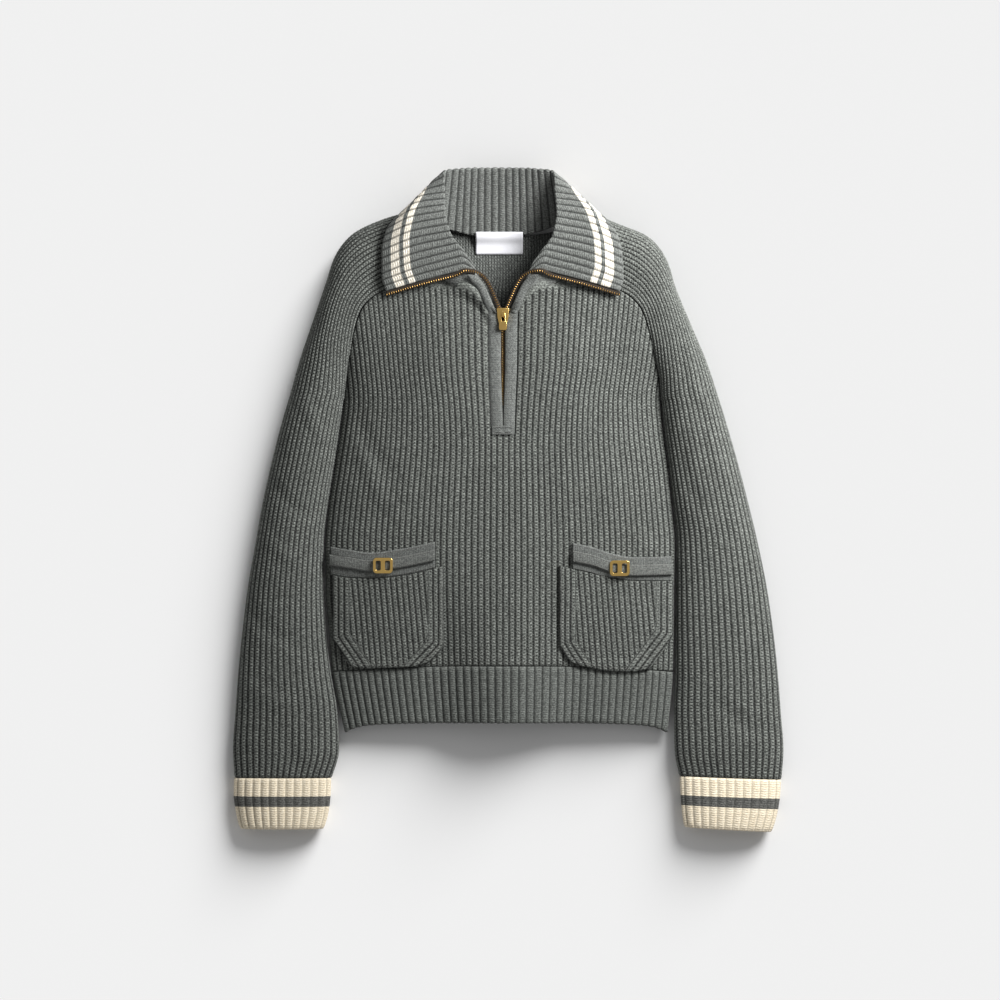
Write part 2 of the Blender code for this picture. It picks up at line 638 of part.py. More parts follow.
def make_pockets():
    rib_top_height = RIB_HEIGHT + LAY_GAP
    for side, rows, mouth in (("left", LEFT_POCKET, LEFT_MOUTH),
                              ("right", RIGHT_POCKET, RIGHT_MOUTH)):
        table = np.array(rows)
        share = np.linspace(0, 1, 2 * POCKET_RIBS + 1)
        x = table[0, 0] + share * (table[-1, 0] - table[0, 0])
        top = smooth_curve(table[:, 0], table[:, 1], x)
        bottom = smooth_curve(table[:, 0], table[:, 2], x)
        fall = np.linspace(0, 1, 6)[:, None]
        y = top + fall * (bottom - top)
        relief = np.tile(rib_relief(POCKET_RIBS, RIB_HEIGHT), (6, 1))
        sheet_on_front("pocket_" + side, np.tile(x, (6, 1)), y, rib_top_height, POCKET_WALL,
                       relief, 4, "wool")
        mouth = np.array(mouth)
        x = np.linspace(mouth[0, 0], mouth[-1, 0], 13)
        line = smooth_curve(mouth[:, 0], mouth[:, 1], x)
        y = np.array([line, line - BAND_WIDTH / 2, line - BAND_WIDTH + 0.8 * np.sin(x / 9.0)])
        top_edge = smooth_curve(table[:, 0], table[:, 1], np.clip(x, table[0, 0], table[-1, 0]))
        y[2] = np.maximum(y[2], top_edge + SEAM_GAP)
        sheet_on_front("pocket_band_" + side, np.tile(x, (3, 1)), y, rib_top_height, BAND_WALL,
                       np.zeros((3, 13)), 2, "wool")
        top = line - STRAP_DROP
        y = np.array([top, top - STRAP_WIDTH / 2, top - STRAP_WIDTH])
        strap_lift = rib_top_height + BAND_WALL + 3 * LAY_GAP
        sheet_on_front("pocket_strap_" + side, np.tile(x, (3, 1)), y, strap_lift, STRAP_WALL,
                       np.tile([[0.0], [0.5], [0.0]], (1, 13)), 2, "wool")
        centre = LEFT_BUCKLE if side == "left" else RIGHT_BUCKLE
        make_buckle("buckle_" + side, centre, strap_lift + STRAP_WALL + 2 * LAY_GAP)


def plate(name, outline, holes, thickness, place, finish):
    """A flat metal plate in X and Y with windows, its underside at the place."""
    build = bmesh.new()
    rings = []
    for loop in [outline] + holes:
        low = [build.verts.new((x, y, 0.0)) for x, y in loop]
        high = [build.verts.new((x, y, thickness)) for x, y in loop]
        rings.append((low, high))
        for n in range(len(loop)):
            m = (n + 1) % len(loop)
            build.faces.new((low[n], low[m], high[m], high[n]))
    for level in (0, 1):
        edges = []
        for pair in rings:
            loop = pair[level]
            for n in range(len(loop)):
                edges.append(build.edges.get((loop[n], loop[(n + 1) % len(loop)])))
        bmesh.ops.triangle_fill(build, edges=edges, use_beauty=True)
    bmesh.ops.recalc_face_normals(build, faces=build.faces)
    mesh = bpy.data.meshes.new(name)
    build.to_mesh(mesh)
    build.free()
    for vertex in mesh.vertices:
        vertex.co = (vertex.co + Vector(place)) * MM
    thing = bpy.data.objects.new(name, mesh)
    thing.data.materials.append(material(finish, 0.25, 1.0))
    bpy.context.collection.objects.link(thing)
    return thing


def rounded_box(width, length, radius, steps=3):
    """Corner points of a rounded rectangle about the origin."""
    points = []
    for n, (sx, sy) in enumerate(((1, 1), (-1, 1), (-1, -1), (1, -1))):
        for k in range(steps + 1):
            angle = math.pi / 2 * (n + k / steps)
            points.append((sx * (width / 2 - radius) + radius * math.cos(angle),
                           sy * (length / 2 - radius) + radius * math.sin(angle)))
    return points


def make_buckle(name, centre, lift):
    """A slide buckle: a rounded frame with two windows beside a middle bar."""
    window = []
    for sign in (-1, 1):
        hole = [(x + sign * 5.2, y) for x, y in rounded_box(5.4, 10.5, 1.4, 2)]
        window.append(hole[::-1])
    xs = centre[0] + np.array([-0.5, 0.0, 0.5]) * BUCKLE_WIDTH
    high = float(front_height(xs, np.full(3, centre[1])).max())
    plate(name, rounded_box(BUCKLE_WIDTH, BUCKLE_LENGTH, 4.0), window, BUCKLE_THICKNESS,
          (*centre, high + lift), "brass")


def ribbon(name, path, across, thickness, finish, roughness=0.9):
    """A flat strip along a path in space, its width set by the across vectors."""
    path = np.array(path, dtype=float)
    across = np.array(across, dtype=float)
    along = np.gradient(path, axis=0)
    up = np.cross(along, across)
    up /= np.linalg.norm(up, axis=1, keepdims=True)
    up *= np.sign(up[:, 2:])
    corners = [path - across, path + across, path + across + up * thickness,
               path - across + up * thickness]
    points = np.array(corners).transpose(1, 0, 2).reshape(-1, 3)
    faces = [(3, 2, 1, 0)]
    count = len(path)
    for r in range(count - 1):
        for k in range(4):
            m = (k + 1) % 4
            faces.append((4 * r + k, 4 * r + m, 4 * r + 4 + m, 4 * r + 4 + k))
    faces.append(tuple(4 * (count - 1) + k for k in range(4)))
    return add_object(name, points, faces, finish, roughness)


def make_zip():
    """The placket's strips and the closed chain between them, then the slider and its pull."""
    levels = np.linspace(SLIT_BOTTOM + 9.0, PLACKET_TOP, 8)
    z = front_height(np.full(8, ZIP_X), levels) - 0.5
    for side, sign in (("left", -1), ("right", 1)):
        x = np.full(8, ZIP_X + sign * PLACKET_OFFSET)
        across = np.tile([PLACKET_HALF_WIDTH, 0.0, 0.0], (8, 1))
        ribbon("placket_" + side, np.column_stack([x, levels, z]), across, PLACKET_WALL, "wool")
    chain = np.column_stack([np.full(8, ZIP_X), levels + 0.5, z - 1.6])
    across = np.tile([CHAIN_HALF_WIDTH, 0.0, 0.0], (8, 1))
    ribbon("zip_chain", chain, across, TAPE_THICKNESS, "tape", 0.6)
    end = np.array([[ZIP_X, SLIT_BOTTOM - 1.5, 0], [ZIP_X, SLIT_BOTTOM + 8.6, 0]])
    end[:, 2] = front_height(end[:, 0], end[:, 1]) + RIB_HEIGHT + LAY_GAP
    across = np.tile([END_BOX_HALF_WIDTH, 0.0, 0.0], (2, 1))
    ribbon("placket_end", end, across, END_BOX_WALL, "wool")
    make_slider(float(front_height(np.array([ZIP_X]), np.array([150.0]))[0]) + 2.5)


def make_slider(base):
    """The slider's body with the arch that holds the pull, and the pull, which turns on its
    top bar under the arch."""
    outline = [(-7.0, 12.5), (7.0, 12.5), (6.2, 2.0), (4.6, -5.0), (-4.6, -5.0), (-6.2, 2.0)]
    slider = plate("zip_slider", outline, [], SLIDER_BODY, (ZIP_X, 200.0, base), "brass")
    pivot = Vector((ZIP_X, 206.0, base + SLIDER_BODY + 1.2))
    arch = [(-3.4, -1.6), (-1.9, -1.6), (-1.9, 1.3), (1.7, 1.3), (1.7, -1.6), (3.2, -1.6),
            (3.2, 2.0), (2.2, 2.8), (-2.4, 2.8), (-3.4, 2.0)]
    points = [(x, y, z) for x in (-1.1, 1.1) for y, z in arch]
    count = len(arch)
    faces = [tuple(range(count)), tuple(range(2 * count - 1, count - 1, -1))]
    for n in range(count):
        m = (n + 1) % count
        faces.append((n, n + count, m + count, m))
    holder = add_object("arch", np.array(points) + np.array(pivot), faces, "brass", 0.25, 1.0)
    holder.hide_render = True
    holder.display_type = "WIRE"
    join = slider.modifiers.new("arch", "BOOLEAN")
    join.operation = "UNION"
    join.object = holder
    half_tab = [(-2.7, 0.8), (-2.7, -7.5), (-4.3, -9.5), (-4.6, -16.0), (-3.6, -18.3)]
    tab = half_tab + [(-x, y) for x, y in half_tab[::-1]]
    window = [(-1.6, -0.8), (1.6, -0.8), (1.6, -8.0), (-1.6, -8.0)]
    pull = plate("zip_pull", tab, [window], PULL_THICKNESS, (0, 0, -PULL_THICKNESS / 2), "brass")
    pull.location = pivot * MM


def make_label():
    """The label, which lies on the back and then over the collar's seam."""
    left, right, low, high = LABEL_BOX
    gx, gy = np.meshgrid(np.linspace(left, right, 6), np.linspace(low, high, 5))
    rise = smooth_curve((low, high - 14.0, high - 6.0, high), (0.0, 2.5, 7.6, 9.2), gy)
    z = BODY_WALL + 1.0 + LABEL_THICKNESS + rise
    grid = np.dstack([gx, gy, z])
    if grid_normals(grid)[0, 0, 2] < 0:
        grid = grid[::-1]
    wall("neck_label", grid, np.zeros(gx.shape), LABEL_THICKNESS, 1, "label")


def centre_all():
    """Shifts the finished objects sideways, so that the origin lies under their middle."""
    for thing in bpy.data.objects:
        thing.location.x += CENTRE_SHIFT * MM


def main():
    clear_scene()
    make_front()
    make_back()
    make_hem()
    make_sleeves()
    make_collar()
    make_pockets()
    make_zip()
    make_label()
    centre_all()


main()
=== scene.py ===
import math
from functools import partial

import bmesh
import bpy
import numpy as np
from mathutils import Matrix


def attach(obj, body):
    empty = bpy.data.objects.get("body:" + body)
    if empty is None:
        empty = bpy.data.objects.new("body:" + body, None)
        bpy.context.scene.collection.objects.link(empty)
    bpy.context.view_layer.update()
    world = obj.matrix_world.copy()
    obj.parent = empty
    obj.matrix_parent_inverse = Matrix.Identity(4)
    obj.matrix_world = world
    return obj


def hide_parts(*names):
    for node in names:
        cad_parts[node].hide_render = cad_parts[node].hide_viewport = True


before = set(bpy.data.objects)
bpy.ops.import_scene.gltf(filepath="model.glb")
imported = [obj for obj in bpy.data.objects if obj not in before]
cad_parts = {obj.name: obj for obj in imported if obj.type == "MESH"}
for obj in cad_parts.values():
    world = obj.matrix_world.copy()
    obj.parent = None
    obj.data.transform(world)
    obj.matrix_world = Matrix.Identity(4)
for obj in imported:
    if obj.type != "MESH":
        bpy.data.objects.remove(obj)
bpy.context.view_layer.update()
print("frame loaded:", len(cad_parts), "nodes")

mm = 0.001
zipX = -3.4          # the zip's line, in millimetres, which is the body's middle
centreShift = -2.5   # moves the whole sideways to the frame's middle
underarm = 111.0
slitBottom = 73.0
sideHeight = 10.0
neckEnd = 243.0
gap = 0.3            # between pieces that are sewn together
trimCourse = 2.6     # a knitted row of the fine ribs


def fine(full):
    return full


# Shape helpers. Lengths are in millimetres until a mesh is made.

def smoothCurve(knots, values, wanted):
    # Runs through every knot without overshooting between them.
    knots, values = (np.asarray(part, dtype=float) for part in (knots, values))
    flat = values.ndim == 1
    if flat:
        values = values[:, None]
    step = np.diff(knots)[:, None]
    slope = np.diff(values, axis=0) / step
    tangent = np.zeros_like(values)
    tangent[0], tangent[-1] = slope[0], slope[-1]
    same = slope[:-1] * slope[1:] > 0
    mean = 2 * slope[:-1] * slope[1:] / np.where(same, slope[:-1] + slope[1:], 1.0)
    tangent[1:-1] = np.where(same, mean, 0.0)
    wanted = np.clip(np.asarray(wanted, dtype=float), knots[0], knots[-1])
    cell = np.clip(np.searchsorted(knots, wanted, side="right") - 1, 0, len(knots) - 2)
    t = ((wanted - knots[cell]) / np.diff(knots)[cell])[..., None]
    width = step[cell]
    result = ((2 * t**3 - 3 * t**2 + 1) * values[cell]
              + (t**3 - 2 * t**2 + t) * width * tangent[cell]
              + (-2 * t**3 + 3 * t**2) * values[cell + 1]
              + (t**3 - t**2) * width * tangent[cell + 1])
    return result[..., 0] if flat else result


def tableAt(rows, level):
    # Each column of the table at a level, which is the table's first column.
    table = np.array(rows, dtype=float)
    return np.moveaxis(smoothCurve(table[:, 0], table[:, 1:], level), -1, 0)


def hump(t):
    t = np.clip(np.abs(t), 0.0, 1.0)
    return (1.0 - t * t) ** 2


def ease(t):
    t = np.clip(t, 0.0, 1.0)
    return t * t * (3 - 2 * t)


def unit(vectors):
    return vectors / np.maximum(np.linalg.norm(vectors, axis=-1, keepdims=True), 1e-9)


def gridNormals(grid):
    return unit(np.cross(np.gradient(grid, axis=1), np.gradient(grid, axis=0)))


def runOf(points):
    return np.concatenate([[0], np.cumsum(np.linalg.norm(np.diff(points, axis=0), axis=-1))])


def pointsAt(line, places):
    return np.column_stack([np.interp(places, runOf(line), part) for part in line.T])


def resample(line, count):
    return pointsAt(line, np.linspace(0, runOf(line)[-1], count))


def stack(rib, course, gain, edge):
    return np.stack(np.broadcast_arrays(rib, course, gain, edge), axis=-1).astype(float)


# Mesh helpers

def addObject(name, data):
    thing = bpy.data.objects.new(name, data)
    bpy.context.scene.collection.objects.link(thing)
    return thing


def curlEdge(grid, out, coords, thickness):
    # Adds rows that turn the last edge round to the wall's inside, with the knit fading out.
    away = unit(grid[-1] - grid[-2])
    parts = [grid], [out], [coords]
    for turn, fade in ((0.25, 0.85), (0.5, 0.6), (0.75, 0.25), (0.93, 0.0)):
        cos, sin = math.cos(math.pi * turn), math.sin(math.pi * turn)
        parts[0].append([grid[-1] + away * thickness / 2 * sin - out[-1] * thickness / 2 * (1 - cos)])
        parts[1].append([unit(out[-1] * cos + away * sin)])
        parts[2].append([coords[-1] * (1.0, 1.0, fade, 1.0)])
    return [np.concatenate(part) for part in parts]


def clothWall(name, grid, coords, thickness, columnStep, rowStep, curl=(False, False), slit=None):
    # A closed wall: the dense outside with its knit coordinates, a plain inside, and a rim.
    # coords holds rib, course, gain and edge for each point of the outside. A slit is open
    # from its first row on, between its two columns.
    out = gridNormals(grid)
    innerRows = np.array(sorted({*range(0, len(grid), rowStep), len(grid) - 1}))
    innerCols = np.array(sorted({*range(0, grid.shape[1] - 1, columnStep), grid.shape[1] - 1}))
    inside = (grid - out * thickness)[np.ix_(innerRows, innerCols)].reshape(-1, 3)
    parts = [grid, out, coords]
    if curl[0]:
        parts = [part[::-1] for part in curlEdge(*[part[::-1] for part in parts], thickness)]
    if curl[1]:
        parts = curlEdge(*parts, thickness)
    first = 4 if curl[0] else 0
    grid, out, coords = parts
    rows, cols = grid.shape[:2]
    base, width = rows * cols, len(innerCols)

    def filled(rowList, colList):
        r, c = np.meshgrid(rowList, colList, indexing="ij")
        return (r < slit[0]) | (c < slit[1]) | (c >= slit[2]) if slit else np.ones(r.shape, bool)

    def fan(line, a, b):
        middle = len(line) // 2
        faces.extend([a, line[n], line[n + 1]] for n in range(middle))
        faces.append([a, line[middle], b])
        faces.extend([b, line[n], line[n + 1]] for n in range(middle, len(line) - 1))

    r, c = np.nonzero(filled(np.arange(rows - 1) - first, np.arange(cols - 1)))
    corner = r * cols + c
    faces = np.column_stack([corner, corner + 1, corner + cols + 1, corner + cols]).tolist()
    solid = filled(innerRows[:-1], innerCols[:-1])
    r, c = np.nonzero(solid)
    corner = base + r * width + c
    faces += np.column_stack([corner, corner + width, corner + width + 1, corner + 1]).tolist()
    outerRows = innerRows + first
    outerRows[0] = 0
    outerRows[-1] = rows - 1
    solid = np.pad(solid, 1)
    for i, j in np.argwhere(solid[1:, 1:-1] != solid[:-1, 1:-1]).tolist():
        line = np.arange(innerCols[j], innerCols[j + 1] + 1) + outerRows[i] * cols
        fan(line.tolist(), base + i * width + j, base + i * width + j + 1)
    for j, i in np.argwhere((solid[1:-1, 1:] != solid[1:-1, :-1]).T).tolist():
        line = np.arange(outerRows[i], outerRows[i + 1] + 1) * cols + innerCols[j]
        fan(line.tolist(), base + i * width + j, base + (i + 1) * width + j)

    plain = coords[np.ix_(innerRows + first, innerCols)] * (1, 1, 0, 0) + (0, 0, 0, -1)
    coords = np.concatenate([coords.reshape(-1, 4), plain.reshape(-1, 4)])
    out = np.concatenate([out.reshape(-1, 3), np.zeros((len(inside), 3))])
    mesh = bpy.data.meshes.new(name)
    mesh.from_pydata((np.concatenate([grid.reshape(-1, 3), inside]) * mm).tolist(), [], faces)
    for n, key in enumerate(("rib", "course", "gain", "edge")):
        layer = mesh.attributes.new(key, "FLOAT", "POINT")
        layer.data.foreach_set("value", coords[:, n].astype(np.float32))
    layer = mesh.attributes.new("out", "FLOAT_VECTOR", "POINT")
    layer.data.foreach_set("vector", out.astype(np.float32).ravel())
    # Joins points that meet, drops faces without area and turns all faces outwards.
    build = bmesh.new()
    build.from_mesh(mesh)
    bmesh.ops.remove_doubles(build, verts=build.verts, dist=2e-5)
    bmesh.ops.dissolve_degenerate(build, edges=build.edges, dist=1e-6)
    bmesh.ops.recalc_face_normals(build, faces=build.faces)
    for face in build.faces:
        face.smooth = True
    build.to_mesh(mesh)
    build.free()
    return addObject(name, mesh)


# Node helpers

def feed(tree, socket, value):
    if isinstance(value, bpy.types.NodeSocket):
        tree.links.new(value, socket)
    else:
        socket.default_value = value


def addNode(tree, kind, inputs, **settings):
    node = tree.nodes.new(kind)
    for key, value in settings.items():
        setattr(node, key, value)
    for key, value in inputs.items():
        feed(tree, node.inputs[key], value)
    return node


def calc(tree, operation, *values):
    inputs = dict(enumerate(values))
    return addNode(tree, "ShaderNodeMath", inputs, operation=operation).outputs[0]


def scaled(tree, vector, factor):
    inputs = {0: vector, "Scale": factor}
    return addNode(tree, "ShaderNodeVectorMath", inputs, operation="SCALE").outputs[0]


def newTree(name, inputs):
    tree = bpy.data.node_groups.new(name, "GeometryNodeTree")
    for label, kind in {"Geometry": "Geometry", **inputs, "Material": "Material"}.items():
        tree.interface.new_socket(label, in_out="INPUT", socket_type="NodeSocket" + kind)
    tree.interface.new_socket("Geometry", in_out="OUTPUT", socket_type="NodeSocketGeometry")
    return tree, tree.nodes.new("NodeGroupInput").outputs


def finishTree(tree, geometry, given):
    realize = addNode(tree, "GeometryNodeRealizeInstances", {0: geometry})
    paint = addNode(tree, "GeometryNodeSetMaterial",
                    {"Geometry": realize.outputs[0], "Material": given["Material"]})
    addNode(tree, "NodeGroupOutput", {0: paint.outputs[0]})
    return tree


def treeMesh(thing, tree, settings):
    # Sets the tree's inputs by identifier and gives its result as a plain mesh.
    modifier = thing.modifiers.new(tree.name, "NODES")
    modifier.node_group = tree
    for item in tree.interface.items_tree:
        if item.item_type == "SOCKET" and item.in_out == "INPUT" and item.name in settings:
            modifier[item.identifier] = settings[item.name]
    bpy.context.view_layer.update()
    shaped = thing.evaluated_get(bpy.context.evaluated_depsgraph_get())
    mesh = bpy.data.meshes.new_from_object(shaped)
    thing.modifiers.remove(modifier)
    return mesh


def knitTree():
    # Raises ribs and stitches: rib is 0 in a valley and half way on a ridge, and course
    # counts the knitted rows. Each ridge has a groove between its stitches' two legs.
    tree, given = newTree("knitRelief", dict.fromkeys(
        ("Rib Height", "Rib Roundness", "Stitch Height", "Stitch Slant", "Groove Depth"), "Float"))

    def read(name, kind="FLOAT"):
        node = addNode(tree, "GeometryNodeInputNamedAttribute", {"Name": name}, data_type=kind)
        return next(s for s in node.outputs if s.name == "Attribute" and s.enabled)

    do = partial(calc, tree)
    phase = do("FRACT", read("rib"))
    ridge = do("MAXIMUM", do("SINE", do("MULTIPLY", phase, math.pi)), 0.0)
    leg = do("ABSOLUTE", do("MULTIPLY_ADD", phase, 2.0, -1.0))
    slanted = do("MULTIPLY_ADD", leg, given["Stitch Slant"], read("course"))
    wave = do("COSINE", do("MULTIPLY", slanted, math.tau))
    height = do("MULTIPLY", do("POWER", ridge, given["Rib Roundness"]), given["Rib Height"])
    height = do("MULTIPLY_ADD", wave, given["Stitch Height"], height)
    centre = do("MAXIMUM", do("MULTIPLY_ADD", leg, -2.5, 1.0), 0.0)
    groove = do("MULTIPLY", centre, given["Groove Depth"])
    height = do("MULTIPLY", do("SUBTRACT", height, groove), read("gain"))
    offset = scaled(tree, read("out", "FLOAT_VECTOR"), height)
    place = addNode(tree, "GeometryNodeSetPosition",
                    {"Geometry": given["Geometry"], "Offset": offset})
    return finishTree(tree, place.outputs[0], given)


relief = knitTree()
made = {}


def knitPiece(name, grid, coords, look, curl=(False, False), slit=None):
    # Makes a wall and raises its knit, both as the piece's dictionary says.
    thing = clothWall(name, grid, coords, look["wall"], *look["steps"], curl, slit)
    flat = thing.data
    thing.data = treeMesh(thing, relief, {
        "Rib Height": look.get("ribHeight", 0.0) * mm,
        "Stitch Height": look.get("stitchHeight", 0.0) * mm,
        "Rib Roundness": look.get("roundness", 0.75), "Groove Depth": look.get("groove", 0.0) * mm,
        "Stitch Slant": 0.45, "Material": finishes[look["finish"]]})
    thing.data.name = name
    bpy.data.meshes.remove(flat)
    made[name] = thing


# Finishes. Each knit finish reads the rib and course counts that its piece carries.

def newFinish(name):
    finish = bpy.data.materials.new(name)
    finish.use_nodes = True
    return finish, finish.node_tree


def setSurface(tree, colour, height, strength, depth, settings):
    shader = tree.nodes["Principled BSDF"]
    bump = addNode(tree, "ShaderNodeBump",
                   {"Height": height, "Strength": strength, "Distance": depth})
    tree.links.new(colour, shader.inputs["Base Color"])
    tree.links.new(bump.outputs["Normal"], shader.inputs["Normal"])
    for key, value in settings.items():
        shader.inputs[key].default_value = value


def attribute(tree, name):
    return addNode(tree, "ShaderNodeAttribute", {}, attribute_name=name).outputs["Fac"]


def ramp(tree, value, low, high):
    inputs = {"Value": value, "From Min": low, "From Max": high}
    return addNode(tree, "ShaderNodeMapRange", inputs, interpolation_type="SMOOTHSTEP").outputs[0]


def noise(tree, scale, detail=2.0):
    place = tree.nodes.new("ShaderNodeTexCoord").outputs["Object"]
    inputs = {"Vector": place, "Scale": scale, "Detail": detail}
    return addNode(tree, "ShaderNodeTexNoise", inputs).outputs["Fac"]


def blendColour(tree, factor, first, second):
    node = addNode(tree, "ShaderNodeMix", {}, data_type="RGBA")
    for socket, value in ((0, factor), (6, first), (7, second)):
        feed(tree, node.inputs[socket], (*value, 1.0) if isinstance(value, tuple) else value)
    return node.outputs[2]


def knitFinish(name, dark, light, paintedShades, depth=0.0003, speckle=0.3, valleyFrom=0.42, stripes=(),
               stripeDark=None, stripeLight=None):
    # The painted shade amounts darken the valleys, the dots between stitches and every other
    # stitch's middle as painted shade in the knit's hollows, and light or darken one side of each
    # leg as painted light and shade of the stitch's rounding. Stripes are the distances from the
    # piece's edge.
    valley, dots, middle, legs = paintedShades
    finish, tree = newFinish(name)
    do, step = partial(calc, tree), partial(ramp, tree)
    leg = do("ABSOLUTE", do("MULTIPLY_ADD", do("FRACT", attribute(tree, "rib")), 2.0, -1.0))
    course = attribute(tree, "course")
    gain = step(attribute(tree, "gain"), 0.05, 0.45)
    wave = do("COSINE", do("MULTIPLY", do("MULTIPLY_ADD", leg, 0.3, course), math.tau))
    row = do("COSINE", do("MULTIPLY", course, math.tau))
    inValley = do("MULTIPLY", step(leg, valleyFrom, 0.93), gain)
    inMiddle = do("MULTIPLY", step(leg, 0.4, 0.05), gain)
    dot = do("MULTIPLY", do("MULTIPLY", step(leg, 0.25, 0.7), gain), step(row, -0.3, 0.9))
    other = do("MULTIPLY", inMiddle, step(row, 0.2, -0.95))
    # Painted shade: the valleys, the dots and every other middle are darkened, and the legs get
    # painted light and shade by the stitch's rounding.
    shade = do("MULTIPLY_ADD", inValley, -valley, 1.0)
    shade = do("MULTIPLY_ADD", dot, -dots, shade)
    shade = do("MULTIPLY_ADD", other, -middle, shade)
    shade = do("MULTIPLY_ADD", wave, legs, shade)
    # Large soft patches of random tone in the yarn.
    patch = do("MULTIPLY_ADD", noise(tree, 26.0), 0.16, -0.08)
    shade = do("MAXIMUM", do("ADD", shade, patch), 0.12)
    tone = step(noise(tree, 620.0, 3.0), 0.34, 0.66)
    colour = blendColour(tree, tone, dark, light)
    if stripes:
        edge, soft, inStripe = attribute(tree, "edge"), 0.35, 0.0
        for low, high in stripes:
            part = do("SUBTRACT", step(edge, low - soft, low + soft),
                      step(edge, high - soft, high + soft))
            inStripe = do("ADD", inStripe, part)
        colour = blendColour(tree, inStripe, colour,
                             blendColour(tree, tone, stripeDark, stripeLight))
    speck = step(noise(tree, 1150.0, 1.0), 0.63, 0.74)
    colour = scaled(tree, colour, shade)
    colour = blendColour(tree, do("MULTIPLY", speck, speckle), colour,
                         blendColour(tree, 0.45, colour, (1.0, 1.0, 0.96)))
    hair = do("MULTIPLY", noise(tree, 1500.0), 0.8)
    height = do("MULTIPLY", wave, do("SUBTRACT", 1.0, inValley))
    height = do("MULTIPLY_ADD", other, -0.8, do("MULTIPLY_ADD", height, 0.5, hair))
    setSurface(tree, colour, height, 0.7, depth, {
        "Roughness": 0.92, "Specular IOR Level": 0.2, "Sheen Weight": 0.12, "Sheen Roughness": 0.6})
    return finish


def plainFinish(name, colour, roughness, grain, depth, vary, metallic=0.0):
    finish, tree = newFinish(name)
    spread = calc(tree, "MULTIPLY_ADD", noise(tree, grain * 0.25), vary * 2, 1.0 - vary)
    setSurface(tree, scaled(tree, colour, spread), noise(tree, grain), 0.5, depth,
               {"Roughness": roughness, "Metallic": metallic})
    return finish


# In each knit finish the four numbers after the two colours are painted shade for the valleys, the
# dots, the middles and the legs.
finishes = {
    "wool": knitFinish("wool knit", (0.095, 0.1, 0.093), (0.262, 0.275, 0.256),
                       (0.72, 0.3, 0.4, 0.06), 0.0005, 0.5),
    # The back's copy of the wool is lighter, with less painted shade, as painted light for the back
    # where it lies in the collar's shade inside the neck.
    "backWoolPaintedLight": knitFinish("back knit", (0.115, 0.121, 0.114), (0.25, 0.262, 0.248),
                           (0.5, 0.2, 0.1, 0.1), 0.0005, 0.5),
    "trim": knitFinish("hem rib", (0.105, 0.111, 0.104), (0.205, 0.215, 0.202),
                       (0.62, 0.04, 0.05, 0.05), speckle=0.25, valleyFrom=0.62),
    "plain": knitFinish("plain knit", (0.12, 0.125, 0.119), (0.215, 0.224, 0.214),
                        (0.12, 0.08, 0.05, 0.08)),
    "strap": knitFinish("strap knit", (0.122, 0.127, 0.12), (0.215, 0.223, 0.211),
                        (0.15, 0.08, 0.05, 0.08)),
    "cuff": knitFinish("cuff rib", (0.68, 0.6, 0.465), (0.82, 0.75, 0.622),
                       (0.24, 0.03, 0.03, 0.04), 0.0003, 0.1, 0.7, ((24.0, 35.5),),
                       (0.1, 0.1, 0.094), (0.19, 0.19, 0.178)),
    "collar": knitFinish("collar rib", (0.122, 0.127, 0.12), (0.232, 0.241, 0.23),
                         (0.6, 0.04, 0.04, 0.05), 0.0003, 0.2, 0.55, ((12.0, 22.8), (27.6, 35.2)),
                         (0.6, 0.56, 0.48), (0.84, 0.8, 0.72)),
    "label": plainFinish("label cloth", (0.8, 0.8, 0.83), 0.85, 1500.0, 0.0002, 0.03),
    "tape": plainFinish("zip tape", (0.05, 0.038, 0.028), 0.85, 1600.0, 0.0003, 0.2),
    "thread": plainFinish("thread", (0.2, 0.2, 0.19), 0.8, 1600.0, 0.0001, 0.1),
    "teeth": plainFinish("zip teeth", (0.5, 0.33, 0.13), 0.4, 900.0, 0.00004, 0.12, 1.0),
    "brass": plainFinish("brass", (0.86, 0.62, 0.25), 0.22, 500.0, 0.00003, 0.05, 1.0),
}
print("finishes made:", len(finishes))


# The body's form, shared by the front, the hem and everything that lies on them

bodyRows = [          # level, left, right, crown, bulge
    (-262, -180, 180.5, 24, 17), (-225, -188, 184.5, 26, 16), (-193, -193.8, 187, 28, 14),
    (-150, -197.5, 188, 31, 10), (-104, -201, 188.5, 34, 6), (-52, -201.6, 189, 37, 2),
    (-14, -198.2, 186, 39, 0), (37, -190.5, 180.5, 40, 0), (78, -184, 175, 40, 0),
    (111, -180.5, 172.5, 40, 0), (150, -184, 178, 40, 0), (210, -192, 187, 39, 0),
    (300, -206, 200, 38, 0),
]
raglanRows = [        # level, left, right, height
    (111, -180.3, 172.4, 10), (131, -178, 171.2, 15), (152, -175.6, 167, 22),
    (171, -172.3, 163, 28), (192, -167.6, 157.5, 32.5), (210.6, -160.8, 150.5, 35),
    (225.1, -147.5, 138, 36.5), (234, -131, 122, 37), (243, -104, 97, 37),
]
neckRows = [          # level, left, right
    (243, -103.4, 96.4), (262, -101, 94), (282, -100, 92.5), (318, -97, 89),
]
# Soft creases: both ends, half width and height, which is below 0 for a trough
bodyCreases = [
    (-168, 96, -128, 30, 15, -1.6), (-160, 60, -120, -20, 14, 1.2), (158, 98, 122, 40, 15, -1.5),
    (150, 70, 112, -10, 14, 1.3), (-52, 196, -92, 150, 22, 1.2), (66, 190, 96, 140, 22, 1.2),
    (-30, 60, -40, -20, 26, -0.9), (46, 40, 58, -60, 26, -1.0), (-70, -120, -62, -185, 20, -1.6),
    (58, -120, 66, -185, 20, -1.6), (0, -130, 0, -200, 34, 1.6), (-150, -30, -188, -60, 14, 1.0),
    (140, -36, 178, -62, 14, 1.0),
]


